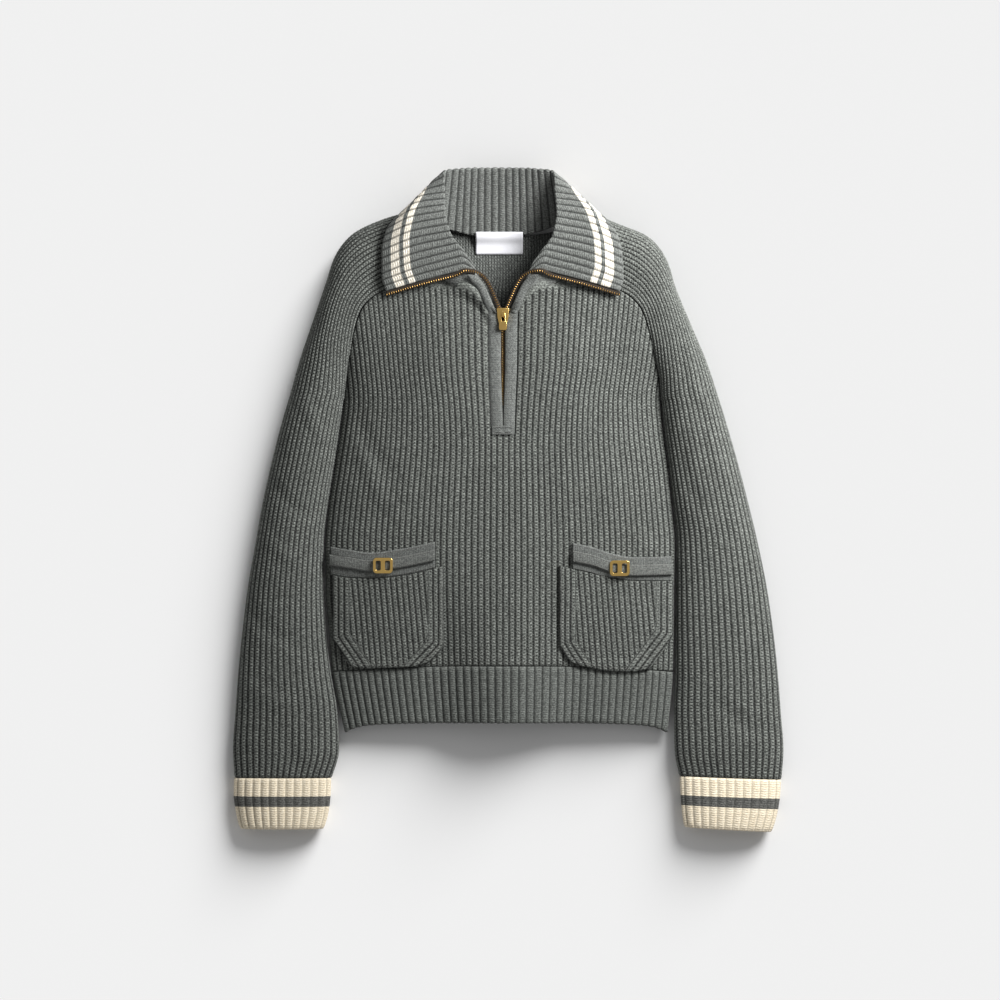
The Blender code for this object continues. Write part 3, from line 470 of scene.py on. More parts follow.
def creaseAt(x, y, creases):
    total = np.zeros(np.broadcast(x, y).shape)
    for x0, y0, x1, y1, half, height in creases:
        size = math.hypot(x1 - x0, y1 - y0)
        runX, runY = (x1 - x0) / size, (y1 - y0) / size
        along = (x - x0) * runX + (y - y0) * runY
        across = (x - x0) * runY - (y - y0) * runX
        bend = 0.08 * size * np.sin(along / size * math.pi)
        fade = ease((along + 0.3 * size) / (0.6 * size)) * ease((1.3 * size - along) / (0.6 * size))
        total = total + height * hump((across - bend) / half) * fade
    return total


def frontTop(x):
    return smoothCurve((0, 10, 17, 23, 32, 45, 57, 75, 97, 300),
                       (206, 208, 215, 226, 236, 242.5, 244, 243.5, 243, 243), np.abs(x - zipX))


def frontHeight(x, y):
    left, right, crown, bulge = tableAt(bodyRows, y)
    seamLeft, seamRight, seamHeight = tableAt(raglanRows, y)
    inArmhole = y > underarm
    left = np.where(inArmhole, seamLeft, left)
    right = np.where(inArmhole, seamRight, right)
    edge = np.where(inArmhole, seamHeight, sideHeight)
    away = np.abs(x - zipX)
    u = np.clip((x - (left + right) / 2) / ((right - left) / 2), -1.0, 1.0)
    dome = np.sqrt(np.maximum(1.0 - np.abs(u) ** 2.6, 0.0))
    height = edge + (crown - edge) * dome + bulge * hump((x - zipX - 4.0) / 82.0)
    chest = hump((away - 62.0) / 70.0) * hump((y - 165.0) / 130.0)
    zipDip = hump(away / 30.0) * hump((y - 150.0) / 110.0)
    calm = ease((1 - np.abs(u)) / 0.12) * ease((away - 8) / 14)
    # The cloth beside the open zip stands up to meet the collar.
    neck = hump((away - 36.0) / 33.0) * ease((y - frontTop(x) + 22.0) / 18.0)
    return height + 3.5 * chest - 2.0 * zipDip + creaseAt(x, y, bodyCreases) * calm + 9.0 * neck


def ribX(rib, level):
    # Where a rib from -1 at the left side to 1 at the right side lies at a level.
    left, right = tableAt(bodyRows, level)[:2]
    t = np.abs(rib)
    spread = t + 0.27 * ease((level - 45.0) / 110.0) * t * (1 - t) ** 2
    spread = spread + 0.02 * np.sin(np.pi * spread)
    reach = np.where(rib < 0, zipX - left, right - zipX)
    return zipX + np.sign(rib) * reach * np.minimum(spread, 1.0)


def ribTop(rib):
    levels = np.linspace(underarm + 0.5, 244.5, 400)
    x = ribX(np.full_like(levels, rib), levels)
    seamLeft, seamRight = tableAt(raglanRows, levels)[:2]
    outside = (x < seamLeft) | (x > seamRight) | (levels > frontTop(x))
    return levels[np.argmax(outside)] if outside.any() else levels[-1]


def hemJoin(x):
    return -186.0 - 7.0 * np.abs((x - zipX) / 190.0) ** 2.5


def hemEdge(x):
    t = (x - zipX) / 185.0
    return -249.0 - 3.0 * t * t - 6.0 * np.abs(t) ** 12


# In each piece's dictionary, steps are the columns and rows of the outside for each of the
# inside, heights are in millimetres, and finish names its look.
knit = {"finish": "wool", "ribs": 60, "perRib": fine(4), "perCourse": fine(3),
        "course": 3.43, "ribHeight": 1.3, "stitchHeight": 0.2, "groove": 0.3, "wall": 3.0,
        "steps": (fine(8), 12)}
# The back wears the lighter copy of the wool, painted light against the shade inside the neck.
back = {"finish": "backWoolPaintedLight", "ribHeight": 0.9, "stitchHeight": 0.2, "wall": 3.0, "steps": (6, 6)}


def makeFront():
    perRib, perCourse = knit["perRib"], knit["perCourse"]
    half = knit["ribs"] * perRib // 2
    ribs = np.linspace(-1.0, 1.0, 2 * half + 1)
    tops = np.array([ribTop(rib) for rib in ribs]) - gap
    foot = hemJoin(ribX(ribs, np.full_like(ribs, -190.0))) + gap
    lower, upper = 76 * perCourse // 12 * 12, 50 * perCourse // 12 * 12
    low = np.linspace(0.0, 1.0, lower + 1)[:, None]
    high = np.linspace(0.0, 1.0, upper + 1)[1:, None]
    level = np.concatenate([foot + low * (slitBottom - foot),
                            slitBottom + high * (tops - slitBottom)])
    x = ribX(ribs[None, :].repeat(len(level), 0), level)
    grid = np.dstack([x, level, frontHeight(x, level)])
    edge = np.minimum(level - foot, tops - level)
    underCollar = ease((92 - np.abs(x - zipX)) / 15) * ease((level - 190) / 10)
    gain = (0.25 + 0.75 * ease(edge / 2.5)) * (1 - underCollar * (1 - ease((tops - level - 6) / 7)))
    coords = stack((ribs * 0.5 + 0.5) * knit["ribs"], (level + 190.0) / knit["course"], gain, edge)
    slit = (lower, half - 2 * perRib, half + 2 * perRib)
    knitPiece("frontKnit", grid, coords, knit, slit=slit)


def underRow(left, right, level, lift, count=9):
    turn = np.linspace(0.0, math.pi / 2, 5)
    rollX, rollZ = sideHeight * (1 - np.cos(turn)), lift * (1 - np.sin(turn))
    middle = np.linspace(left + sideHeight, right - sideHeight, count + 2)[1:-1]
    x = np.concatenate([left + rollX, middle, (right - rollX)[::-1]])
    z = np.concatenate([rollZ, np.zeros(count), rollZ[::-1]])
    return np.column_stack([x, np.full_like(x, level), z])


def makeBack():
    # The back lies flat, so its ribs stay low. Its dense side faces up, where the neck shows it.
    course = knit["course"] / fine(1.5)
    count = knit["ribs"] * fine(3) + 1
    rows = []
    for level in np.arange(-186.0, neckEnd, course):
        left, right = tableAt(raglanRows if level > underarm else bodyRows, level)[:2]
        lift = (sideHeight - gap) * np.clip(1 - (level - underarm) / 40.0, 0.0, 1.0)
        rows.append(resample(underRow(left + 0.6, right - 0.6, level, lift), count))
    across = np.linspace(0, 1, count)
    drop = 25.0 * hump((across * 186.0 - 97.0 - zipX) / 95.0) ** 0.35
    for share in np.linspace(0, 1, int(75 / course) + 1):
        level = neckEnd + share * (318.0 - drop - neckEnd)
        left, right = tableAt(neckRows, level)
        rows.append(np.column_stack([left + across * (right - left), level, np.zeros(count)]))
    grid = np.array(rows)[::-1]
    grid = (grid - gridNormals(grid) * back["wall"])[::-1]
    grid[..., 2] = np.minimum(grid[..., 2], sideHeight - gap)
    coords = stack(across * knit["ribs"], grid[..., 1] / knit["course"], 1.0, 10.0)
    knitPiece("backKnit", grid, coords, back)


hem = {"finish": "trim", "ribs": 46, "perRib": fine(6), "rows": fine(30), "wall": 3.0,
       "ribHeight": 1.9, "stitchHeight": 0.08, "roundness": 0.55, "steps": (fine(12), 5)}
hemBack = {"finish": "trim", "wall": 3.0, "steps": (3, 3)}


def makeHem():
    ribs = np.linspace(-1.0, 1.0, hem["ribs"] * hem["perRib"] + 1)
    rows = []
    for share in np.linspace(0.0, 1.0, hem["rows"] + 1):
        x = ribX(ribs, np.full_like(ribs, -188.0))
        top = hemJoin(x) - gap
        level = top + share * (hemEdge(x) + 1.4 - top)
        x = ribX(ribs, level)
        rows.append(np.column_stack([x, level, frontHeight(x, level)]))
    grid = np.array(rows)[::-1]
    fromTop, fromEdge = grid[-1:, :, 1] - grid[..., 1], grid[..., 1] - grid[:1, :, 1]
    gain = (0.35 + 0.65 * ease(fromTop / 4.0)) * (0.75 + 0.25 * ease(fromEdge / 3.0))
    coords = stack((ribs * 0.5 + 0.5) * hem["ribs"], grid[..., 1] / trimCourse, gain, fromEdge)
    knitPiece("hemKnit", grid, coords, hem, (True, False))
    columns = hem["ribs"] * 3 + 1
    rows = []
    for level in np.linspace(-187.6, -247.0, 13):
        left, right = tableAt(bodyRows, level)[:2]
        rows.append(resample(underRow(left + gap, right - gap, level, sideHeight - gap), columns))
    grid = np.array(rows)
    coords = stack(np.linspace(0, hem["ribs"], columns), grid[..., 1] / trimCourse, 0.0, 10.0)
    knitPiece("hemBackKnit", grid, coords, hemBack)


# Sleeves and cuffs: seam side, then outer side, crown and the seam's height
sleeveRows = {
    "Left": [
        (-195, -311, -303, -311, 25, 10), (-187, -280, -304.5, -279, 29, 10),
        (-189, -240, -301.8, -240, 31, 10), (-197, -190, -298, -190, 33, 10),
        (-202.6, -140, -293, -142, 34.5, 10), (-205, -92, -287, -96, 36, 10),
        (-204.5, -46, -279.3, -52, 37, 10), (-200, -6, -271.5, -8, 38, 10),
        (-192.8, 40, -260.5, 42, 38.5, 10), (-186.3, 84, -248.7, 88, 39, 10),
        (-182.5, 110, -240.3, 116, 39, 10), (-178.6, 131, -229.3, 155, 39, 15),
        (-173, 171, -215.5, 196, 38.5, 28), (-161.6, 210.9, -200.5, 240, 38, 35),
        (-148, 225.8, -190, 271, 38, 36.5), (-131.4, 234.8, -171, 295, 38, 37),
        (-117, 240, -136, 312, 37.5, 37.2), (-105.5, 244.4, -100.5, 322, 37, 37)],
    "Right": [
        (194, -309, 307.5, -313, 25, 10), (189, -280, 309.5, -281, 29, 10),
        (188.5, -240, 306.5, -240, 31, 10), (190.5, -190, 302.5, -190, 33, 10),
        (190.8, -140, 297, -142, 34.5, 10), (191.5, -92, 290, -96, 36, 10),
        (191.8, -46, 281, -52, 37, 10), (188, -6, 270.5, -8, 38, 10),
        (182.6, 40, 257.5, 42, 38.5, 10), (177.2, 84, 244.2, 88, 39, 10),
        (174.6, 110, 235.5, 116, 39, 10), (171.8, 131, 223.5, 152, 39, 15),
        (163.7, 171, 205, 196, 38.5, 28), (151.3, 210.9, 188.5, 236, 38, 35),
        (138.5, 225.8, 179, 266, 38, 36.5), (122.4, 234.8, 160, 291, 38, 37),
        (109, 240, 124, 307, 37.5, 37.2), (98.5, 244.4, 91.5, 320, 37, 37)],
}
cuffRows = {
    "Left": [
        (-195.8, -311.6, -303.5, -311.6, 25.5, 9), (-196.5, -330, -303.8, -330, 26, 9),
        (-199, -350, -301.2, -350, 26, 9), (-203.8, -367.3, -297, -367.3, 25, 9)],
    "Right": [
        (194.6, -309.6, 307, -313.6, 25.5, 9), (195.5, -328, 305.8, -332, 26, 9),
        (197, -347, 302.5, -352, 26, 9), (199.5, -365.3, 297, -370.8, 25, 9)],
}
sleeveCreases = [
    (-252, 150, -205, 205, 10, -1.6), (-226, 120, -196, 60, 12, 1.2),
    (-262, 20, -216, -20, 12, -1.4), (-276, -30, -232, -70, 13, 1.1),
    (-286, -120, -240, -160, 14, -1.3), (-296, -200, -235, -232, 15, 1.2),
    (-244, -262, -230, -305, 15, -1.2), (206, 184, 228, 92, 11, 2.2),
    (228, 92, 254, 8, 11, 2.0), (254, 8, 262, -46, 12, 1.6), (198, 60, 216, -10, 12, -1.5),
    (268, -80, 222, -128, 14, -1.3), (290, -150, 238, -196, 14, 1.2),
    (236, -226, 292, -262, 15, -1.3), (248, -262, 240, -305, 15, 1.1),
]
sleeve = {**knit, "ribs": 18, "rowStep": knit["course"] / knit["perCourse"], "groove": 0.0,
          "side": sideHeight}
cuff = {"finish": "cuff", "ribs": 13, "perRib": fine(6), "course": trimCourse, "side": 9.0,
        "rowStep": fine(2.0), "wall": 2.6, "ribHeight": 1.7, "stitchHeight": 0.08,
        "roundness": 0.5, "steps": (fine(12), 5)}


def ring(seam, outer, crown, seamHeight, side, topCount, underCount):
    # One round of a tube, from the seam over the top and back along the surface below.
    closed = float(np.clip(1 - (seamHeight - side) / 12.0, 0.0, 1.0))
    width = np.linalg.norm(outer - seam)
    turn = np.linspace(0.0, math.pi, 121)
    across = width / 2 * (1 - np.cos(turn))
    edge = seamHeight + (side - seamHeight) * across / width
    top = np.column_stack([across, edge + (crown - edge) * np.sin(turn) ** 0.85])
    roll = np.linspace(0.0, math.pi / 2, 9)
    rollX, rollZ = side * (1 - np.cos(roll)), side * (1 - np.sin(roll))
    under = np.vstack([np.column_stack([width - rollX, rollZ]),
                       np.column_stack([rollX, rollZ * closed])[:0:-1],
                       [0.0, max(side * closed - gap, 0.0)]])
    path = np.vstack([resample(top, topCount + 1), resample(under, underCount + 1)[1:]])
    return np.column_stack([seam + (outer - seam) / width * path[:, :1], path[:, 1]])


def makeTube(name, rows, look, creases=(), isCuff=False):
    ribs, perRib = look["ribs"], look["perRib"]
    topCount, underCount = ribs * perRib, ribs * 2
    table = np.array(rows, dtype=float)
    run = runOf(table[:, :2]) + runOf(table[:, 2:4])
    count = int(run[-1] / 2 / look["rowStep"])
    grid = []
    for x, y, outerX, outerY, crown, height in smoothCurve(run, table,
                                                           np.linspace(0, run[-1], count + 1)):
        if underarm < y < neckEnd:
            seamLeft, seamRight = tableAt(raglanRows, y)[:2]
            x = seamLeft - 1.3 if x < 0 else seamRight + 1.3
        grid.append(ring(np.array([x, y]), np.array([outerX, outerY]), crown, height,
                         look["side"], topCount, underCount))
    grid = np.array(grid)
    share = np.minimum(np.arange(topCount + underCount + 1) / topCount, 1.0)
    calm = ease(share / 0.16) * ease((1 - share) / 0.16)
    grid[..., 2] += creaseAt(grid[..., 0], grid[..., 1], creases) * calm
    flipped = gridNormals(grid)[:, topCount // 2, 2].mean() < 0
    if flipped:
        grid = grid[::-1]
    place = np.arange(topCount + underCount + 1)
    rib = np.where(place > topCount, ribs + (place - topCount) / 2, place / perRib)
    onTop = ease(np.minimum(place, topCount - place) / perRib + 0.3) * (place <= topCount)
    run = runOf(grid.mean(1))
    start = (run[-1] - run) if flipped else run
    fromEnd = np.minimum(run, run[-1] - run)
    gain = onTop * (0.3 + 0.7 * ease(fromEnd / 3.0))[:, None]
    edge = (run[-1] - start) if isCuff else start
    coords = stack(rib, (start / look["course"])[:, None], gain, edge[:, None])
    knitPiece(name, grid, coords, look, (isCuff and flipped, isCuff and not flipped))


def makeSleeves():
    for side in ("Left", "Right"):
        makeTube("sleeveKnit" + side, sleeveRows[side], sleeve, sleeveCreases)
        makeTube("cuffKnit" + side, cuffRows[side], cuff, isCuff=True)


# Collar, from its front edge round to the middle of the back: neck seam, stand, fold, belly
# and edge
collarRows = [
    (-10.5, 207, 43, -29.1, 244, 46.5, -48, 254, 52, -92, 243, 50.5, -133.5, 231, 46),
    (-30, 224, 43, -36.5, 259, 48.5, -51.5, 275, 54, -98, 263, 53, -138, 248, 46),
    (-62, 240, 43, -61.2, 270.8, 47.3, -60.5, 296, 54.5, -101, 288, 54, -137.5, 274, 45),
    (-82, 262, 42, -73, 293.4, 45.5, -65.5, 319, 52, -103, 312, 53, -131, 299, 43),
    (-88, 288, 36, -75.5, 317.3, 39.5, -65, 341, 46, -90, 337, 45, -113, 318, 31),
    (-76, 307, 25, -69.6, 338.7, 30.7, -64, 364.5, 39, -75.5, 354, 31, -85, 329, 6),
    (-50, 299, 12, -47.4, 336.9, 21, -45, 367.7, 32, -51, 363, 14, -62, 330, 3.5),
    (-23, 294, 9, -22.5, 334.9, 17.5, -22, 368.9, 28, -23, 362, 10, -30, 318, 3),
    (-3.4, 293.5, 8.5, -3.4, 334.7, 16.7, -3.4, 368.9, 27, -3.4, 361, 9, -3.4, 312, 3),
]
collar = {"finish": "collar", "ribs": 48, "perRib": fine(6), "rows": fine(84), "lean": 6.5,
          "wall": 2.6, "ribHeight": 1.35, "stitchHeight": 0.08, "roundness": 0.9,
          "steps": (fine(12), 6)}


def collarGrid(columns, steps):
    half = np.array(collarRows, dtype=float).reshape(-1, 5, 3)
    other = half[-2::-1] * (-1, 1, 1) + (2 * zipX, 0, 0)
    whole = np.concatenate([half, other])
    whole[..., 0] -= collar["lean"] * hump(np.linspace(-1, 1, len(whole)))[:, None]
    run = runOf((whole[:, 2] + whole[:, 3]) / 2)
    whole = smoothCurve(run, whole.reshape(len(whole), -1), np.linspace(0, run[-1], columns + 1))
    grid = []
    for row in whole.reshape(-1, 5, 3):
        lip = row[2] + (row[3] - row[2]) * 0.12
        grid.append(smoothCurve([0.0, 0.27, 0.47, 0.53, 0.76, 1.0],
                                np.array([*row[:3], lip, *row[3:]]), steps))
    return np.array(grid).transpose(1, 0, 2)


def makeCollar():
    # Rows are spread evenly along each column, with the last one set in by the edge's curl.
    columns, setIn = collar["ribs"] * collar["perRib"], 1.3
    lines = collarGrid(columns, np.linspace(0, 1, 241)).transpose(1, 0, 2)
    size = np.array([runOf(line)[-1] - setIn for line in lines])
    share = np.linspace(0, 1, collar["rows"] + 1)
    grid = np.array([pointsAt(line, share * end) for line, end in zip(lines, size)])
    grid = grid.transpose(1, 0, 2)
    edge = (1 - share[:, None]) * size + setIn
    flipped = gridNormals(grid)[int(collar["rows"] * 0.8), 20, 2] < 0
    if flipped:
        grid, edge = grid[::-1], edge[::-1]
    rib = np.linspace(0, collar["ribs"], columns + 1)
    ends = np.minimum(rib, collar["ribs"] - rib)
    gain = (0.3 + 0.7 * ease(edge / 4.0)) * (0.4 + 0.6 * ease(ends / 0.8))
    coords = stack(rib, edge / trimCourse, gain, edge)
    knitPiece("collarKnit", grid, coords, collar, (flipped, not flipped))
    return collarGrid(88, np.linspace(0, 1, 121))[:, [0, -1]].transpose(1, 0, 2)


# Pockets: across, top and bottom, each mouth's line, and the points of the lower edge that
# each corner's ribs follow
pocketRows = {
    "Left": [(-191.5, -85, -156), (-184, -86.5, -168), (-171, -88, -187), (-151, -88.5, -188.5),
             (-128, -87, -188), (-105, -83.5, -186.5), (-84, -78.5, -180), (-69, -74.5, -164)],
    "Right": [(59, -74.5, -163), (70, -77, -180), (92, -82, -187.5), (117, -88, -191.5),
              (139, -91, -192), (156, -91.5, -190), (172, -91.5, -172), (184, -91.5, -152)],
}
mouthRows = {
    "Left": [(-193.5, -53), (-175, -56), (-151, -59.5), (-118, -55.5), (-79, -47.5)],
    "Right": [(74, -48.5), (95, -53), (117.5, -60.5), (141, -64.5), (182, -63.5)],
}
cornerTurns = {"Left": ((0, 2), (-1, -2)), "Right": ((0, 1), (-1, -3))}
pocket = {"finish": "wool", "ribs": 20, "perRib": fine(6), "rows": fine(62),
          "lift": 1.45, "wall": 2.4, "lean": 9.0, "borderRibs": 3, "ribHeight": 1.2,
          "stitchHeight": 0.2, "steps": (fine(12), 6)}
# The head and foot lie this far below the mouth's line.
band = {"finish": "plain", "head": 0.0, "foot": 31.0, "lift": 1.45, "wall": 2.2, "belly": 0.0,
        "ribWidth": 1.9, "ribHeight": 0.25, "stitchHeight": 0.1, "roundness": 0.9, "steps": (6, 4)}
strap = {**band, "finish": "strap", "head": 8.5, "foot": 20.9, "lift": 4.7, "wall": 2.4,
         "belly": 0.6, "ribWidth": 2.0}


def padding(x, y):
    # Lifts the trim at the body's sides and above the hem, where the front turns down.
    return (1.6 * np.clip((np.abs(x - zipX) - 160.0) / 30.0, 0.0, 1.0)
            + 0.9 * np.clip((-178.0 - y) / 6.0, 0.0, 1.0))


def facesDown(grid):
    return gridNormals(grid)[len(grid) // 2, grid.shape[1] // 2, 2] < 0


def onFront(x, y, lift):
    base = np.dstack([x, y, frontHeight(x, y)])
    normals = gridNormals(base) * (-1 if facesDown(base) else 1)
    return base + normals * (lift + padding(x, y))[..., None]


def upright(grid, coords):
    return (grid[::-1], coords[::-1]) if facesDown(grid) else (grid, coords)


def makePocket(side):
    # Three ribs follow the sides and turn round the lower corners. The ribs between them lean.
    table = np.array(pocketRows[side], dtype=float)
    count, width = pocket["ribs"] * pocket["perRib"], table[-1, 0] - table[0, 0]
    x = np.linspace(table[0, 0], table[-1, 0], count + 1)
    top, bottom = tableAt(table, x)
    share = np.linspace(0, 1, pocket["rows"] + 1)[:, None]
    y = top + share * (bottom - top)
    x = np.tile(x, (len(y), 1))
    grid = onFront(x, y, pocket["lift"] + pocket["wall"])
    sideGap = np.minimum(x - x[:, :1], x[:, -1:] - x)
    border = np.minimum(sideGap, y - bottom)
    pitch = width / pocket["ribs"]
    lower = table[:, [0, 2]]
    corners = [np.abs((lower[b, 0] - lower[a, 0]) * (lower[a, 1] - y)
                      - (lower[a, 0] - x) * (lower[b, 1] - lower[a, 1]))
               / math.dist(lower[a], lower[b]) for a, b in cornerTurns[side]]
    edgeRib = np.minimum(np.minimum(*corners), sideGap) / pitch
    innerRib = (x - x[:, :1] - pocket["lean"] * (share - 0.5)) / pitch + 2.0
    rib = np.where(edgeRib < pocket["borderRibs"], edgeRib, innerRib)
    coords = stack(rib, y / knit["course"], 0.35 + 0.65 * ease(border / 3.0), border)
    knitPiece("pocketKnit" + side, *upright(grid, coords), pocket)
    mouth = mouthRows[side]
    x = np.linspace(mouth[0][0], mouth[-1][0], 73)
    line = tableAt(mouth, x)[0]
    steps = np.linspace(0, 1, 17)[:, None]
    for part, look in (("band", band), ("strap", strap)):
        high, low = line - look["head"], line - look["foot"]
        if part == "band":
            low = np.maximum(low + 0.8 * np.sin(x / 9.0), tableAt(table, x)[0] + gap)
        y = high + steps * (low - high)
        grid = onFront(np.tile(x, (len(y), 1)), y, look["lift"] + look["wall"])
        rounding = np.minimum(steps, 1 - steps) / 0.12
        grid[..., 2] += look["belly"] * np.sin(steps * math.pi) - 0.5 * (1 - ease(rounding))
        border = np.minimum(high - y, y - low)
        gain = 0.35 * ease(border / 1.5)
        coords = stack((high - y) / look["ribWidth"], x / trimCourse, gain, border)
        knitPiece(part + "Knit" + side, *upright(grid, coords), look)


# Placket strips beside the zip, the box at their foot and the label
placket = {"finish": "plain", "top": 212.0, "rise": 1.3, "lean": 2.6, "wall": 2.2,
           "ribHeight": 0.12, "stitchHeight": 0.08, "roundness": 0.9, "steps": (3, 6)}
placketBox = {"finish": "plain", "columns": 25, "rise": 0.9, "power": 4, "ribs": 13.263,
              "gain": 0.4, "soft": True, "wall": 2.0, "ribHeight": 0.15, "stitchHeight": 0.1,
              "roundness": 0.9, "steps": (2, 6)}
label = {"finish": "label", "left": -34.0, "right": 19.0, "foot": 273.5, "top": 298.5,
         "lift": 4.9, "wave": 0.25, "wall": 0.6, "steps": (2, 2)}


acrossX = np.array([[1.0, 0.0, 0.0]])


def ribbon(name, path, away, half, look):
    # A band along a path. away points across it, and half is its half width.
    share = np.linspace(-1, 1, look["columns"])
    grid = path[:, None, :] + away[:, None, :] * (share * half)[..., None]
    grid[..., 2] += look["rise"] * (1 - np.abs(share) ** look["power"])
    coords = stack((share + 1) * look["ribs"] / 2, runOf(path)[:, None] / trimCourse,
                   look["gain"] * (ease((1 - np.abs(share)) / 0.2) if look["soft"] else 1), 2.0)
    knitPiece(name, *upright(grid, coords), look)


def makePlacket():
    levels = np.linspace(slitBottom + 0.4, placket["top"], 100)[:, None]
    share = np.linspace(0, 1, 13)
    for side, sign in (("Left", -1), ("Right", 1)):
        # From the chain out to the slit's edge, where each strip tucks in beside the ribs.
        slit = sign * (ribX(np.full(100, sign / 15.0), levels[:, 0])[:, None] - zipX) + 0.5
        near = 0.25 + 2.0 * ease((levels - 84) / 70)
        x = zipX + sign * (near + share * (slit - near))
        rise = placket["rise"] + placket["lean"] * (1 - share)
        z = frontHeight(x, levels) + rise - 2.0 * np.abs(share * 2 - 1) ** 2.5
        grid = np.dstack([x, np.broadcast_to(levels, x.shape), z])
        coords = stack(share * 5, levels / trimCourse, 0.3, 5.0)
        knitPiece("placketKnit" + side, *upright(grid[:, ::sign], coords[:, ::sign]), placket)
    box = np.array([[zipX, slitBottom - 1.5, 0.0], [zipX, slitBottom + 8.6, 0.0]])
    box[:, 2] = frontHeight(box[:, 0], box[:, 1]) + 1.7
    ribbon("placketEndKnit", resample(box, 25), acrossX, 12.6, placketBox)
    # The label lies on the back and climbs the collar's stand.
    x, y = np.meshgrid(np.linspace(label["left"], label["right"], 27),
                       np.linspace(label["foot"], label["top"], 13))
    z = label["lift"] + smoothCurve((0.0, 11.0, 19.0, 25.0), (0.0, 2.5, 7.6, 9.2), y - label["foot"])
    grid = np.dstack([x, y, z + label["wave"] * np.sin(x / 7.0) * np.sin(y / 8.0 + 1)])
    coords = stack(x / 0.8, y / 0.8, 1.0, 5.0)
    knitPiece("labelCloth", *upright(grid, coords), label)


# Zip: tapes, teeth placed along each edge by Geometry Nodes, the closed chain, slider and pull

def rowTree():
    # Sets small blocks in a row along a path, each turned across it and a little unevenly.
    tree, given = newTree("rowOfBlocks", {"Step": "Float", "Block Size": "Vector",
                                          "Unevenness": "Float", "Seed": "Int",
                                          "Smoothness": "Int"})
    points = addNode(tree, "GeometryNodeCurveToPoints", {"Curve": given["Geometry"],
                                                         "Length": given["Step"]}, mode="LENGTH")
    axes = addNode(tree, "FunctionNodeAxesToRotation",
                   {"Primary Axis": points.outputs["Tangent"], "Secondary Axis": (0, 0, 1)},
                   primary_axis="X", secondary_axis="Z")
    spread = given["Unevenness"]
    wobble = addNode(tree, "FunctionNodeRandomValue",
                     {2: calc(tree, "MULTIPLY", spread, -1.0), 3: spread, "Seed": given["Seed"]},
                     data_type="FLOAT")
    angle = addNode(tree, "FunctionNodeAxisAngleToRotation",
                    {"Axis": (0, 0, 1), "Angle": next(s for s in wobble.outputs if s.enabled)})
    turn = addNode(tree, "FunctionNodeRotateRotation",
                   {"Rotation": axes.outputs[0], "Rotate By": angle.outputs[0]},
                   rotation_space="LOCAL")
    block = addNode(tree, "GeometryNodeMeshCube", {"Size": given["Block Size"]})
    soft = addNode(tree, "GeometryNodeSubdivisionSurface",
                   {"Mesh": block.outputs["Mesh"], "Level": given["Smoothness"]})
    place = addNode(tree, "GeometryNodeInstanceOnPoints",
                    {"Points": points.outputs["Points"], "Instance": soft.outputs[0],
                     "Rotation": turn.outputs[0]})
    return finishTree(tree, place.outputs[0], given)


rowOfBlocks = rowTree()


def placeRow(name, path, finish, step, size, uneven=0.0, smoothness=1):
    curve = bpy.data.curves.new(name, "CURVE")
    curve.dimensions = "3D"
    spline = curve.splines.new("POLY")
    spline.points.add(len(path) - 1)
    for point, place in zip(spline.points, path * mm):
        point.co = (*place, 1.0)
    guide = addObject(name + "Path", curve)
    mesh = treeMesh(guide, rowOfBlocks, {
        "Step": step * mm, "Block Size": tuple(value * mm for value in size),
        "Unevenness": uneven, "Seed": 4, "Smoothness": smoothness, "Material": finishes[finish]})
    mesh.name = name
    bpy.data.objects.remove(guide, do_unlink=True)
    return addObject(name, mesh)


def joinAll(name, things):
    # Joins plain meshes that share one finish, whichever of their slots it lies in.
    build = bmesh.new()
    for thing in things:
        build.from_mesh(thing.data)
    for face in build.faces:
        face.material_index = 0
    mesh = bpy.data.meshes.new(name)
    build.to_mesh(mesh)
    build.free()
    mesh.materials.append(next(slot for slot in things[0].data.materials if slot))
    for thing in things:
        made.pop(thing.name, None)
        bpy.data.objects.remove(thing, do_unlink=True)
    made[name] = addObject(name, mesh)


zipper = {"start": 0.015, "chainTop": 203.0, "closedFrom": 104.0, "toothStep": 2.7,
          "toothSize": (1.45, 3.2, 1.8), "closedSize": (1.5, 2.6, 1.4), "tapeHalf": 2.6,
          "chainHalf": 4.0, "bandHalf": 4.4}
tape = {"finish": "tape", "columns": 5, "rise": 0.0, "power": 4, "ribs": 4.2105, "gain": 0.4,
        "soft": True, "wall": 0.9, "steps": (1, 3)}
chainTape = {**tape, "steps": (2, 6), "stitchHeight": 0.1}
rolledBand = {"finish": "plain", "columns": 11, "rise": 1.9, "power": 2.4, "ribs": 4.6,
              "gain": 0.3, "soft": False, "wall": 1.8, "ribHeight": 0.12, "stitchHeight": 0.08,
              "steps": (2, 3)}


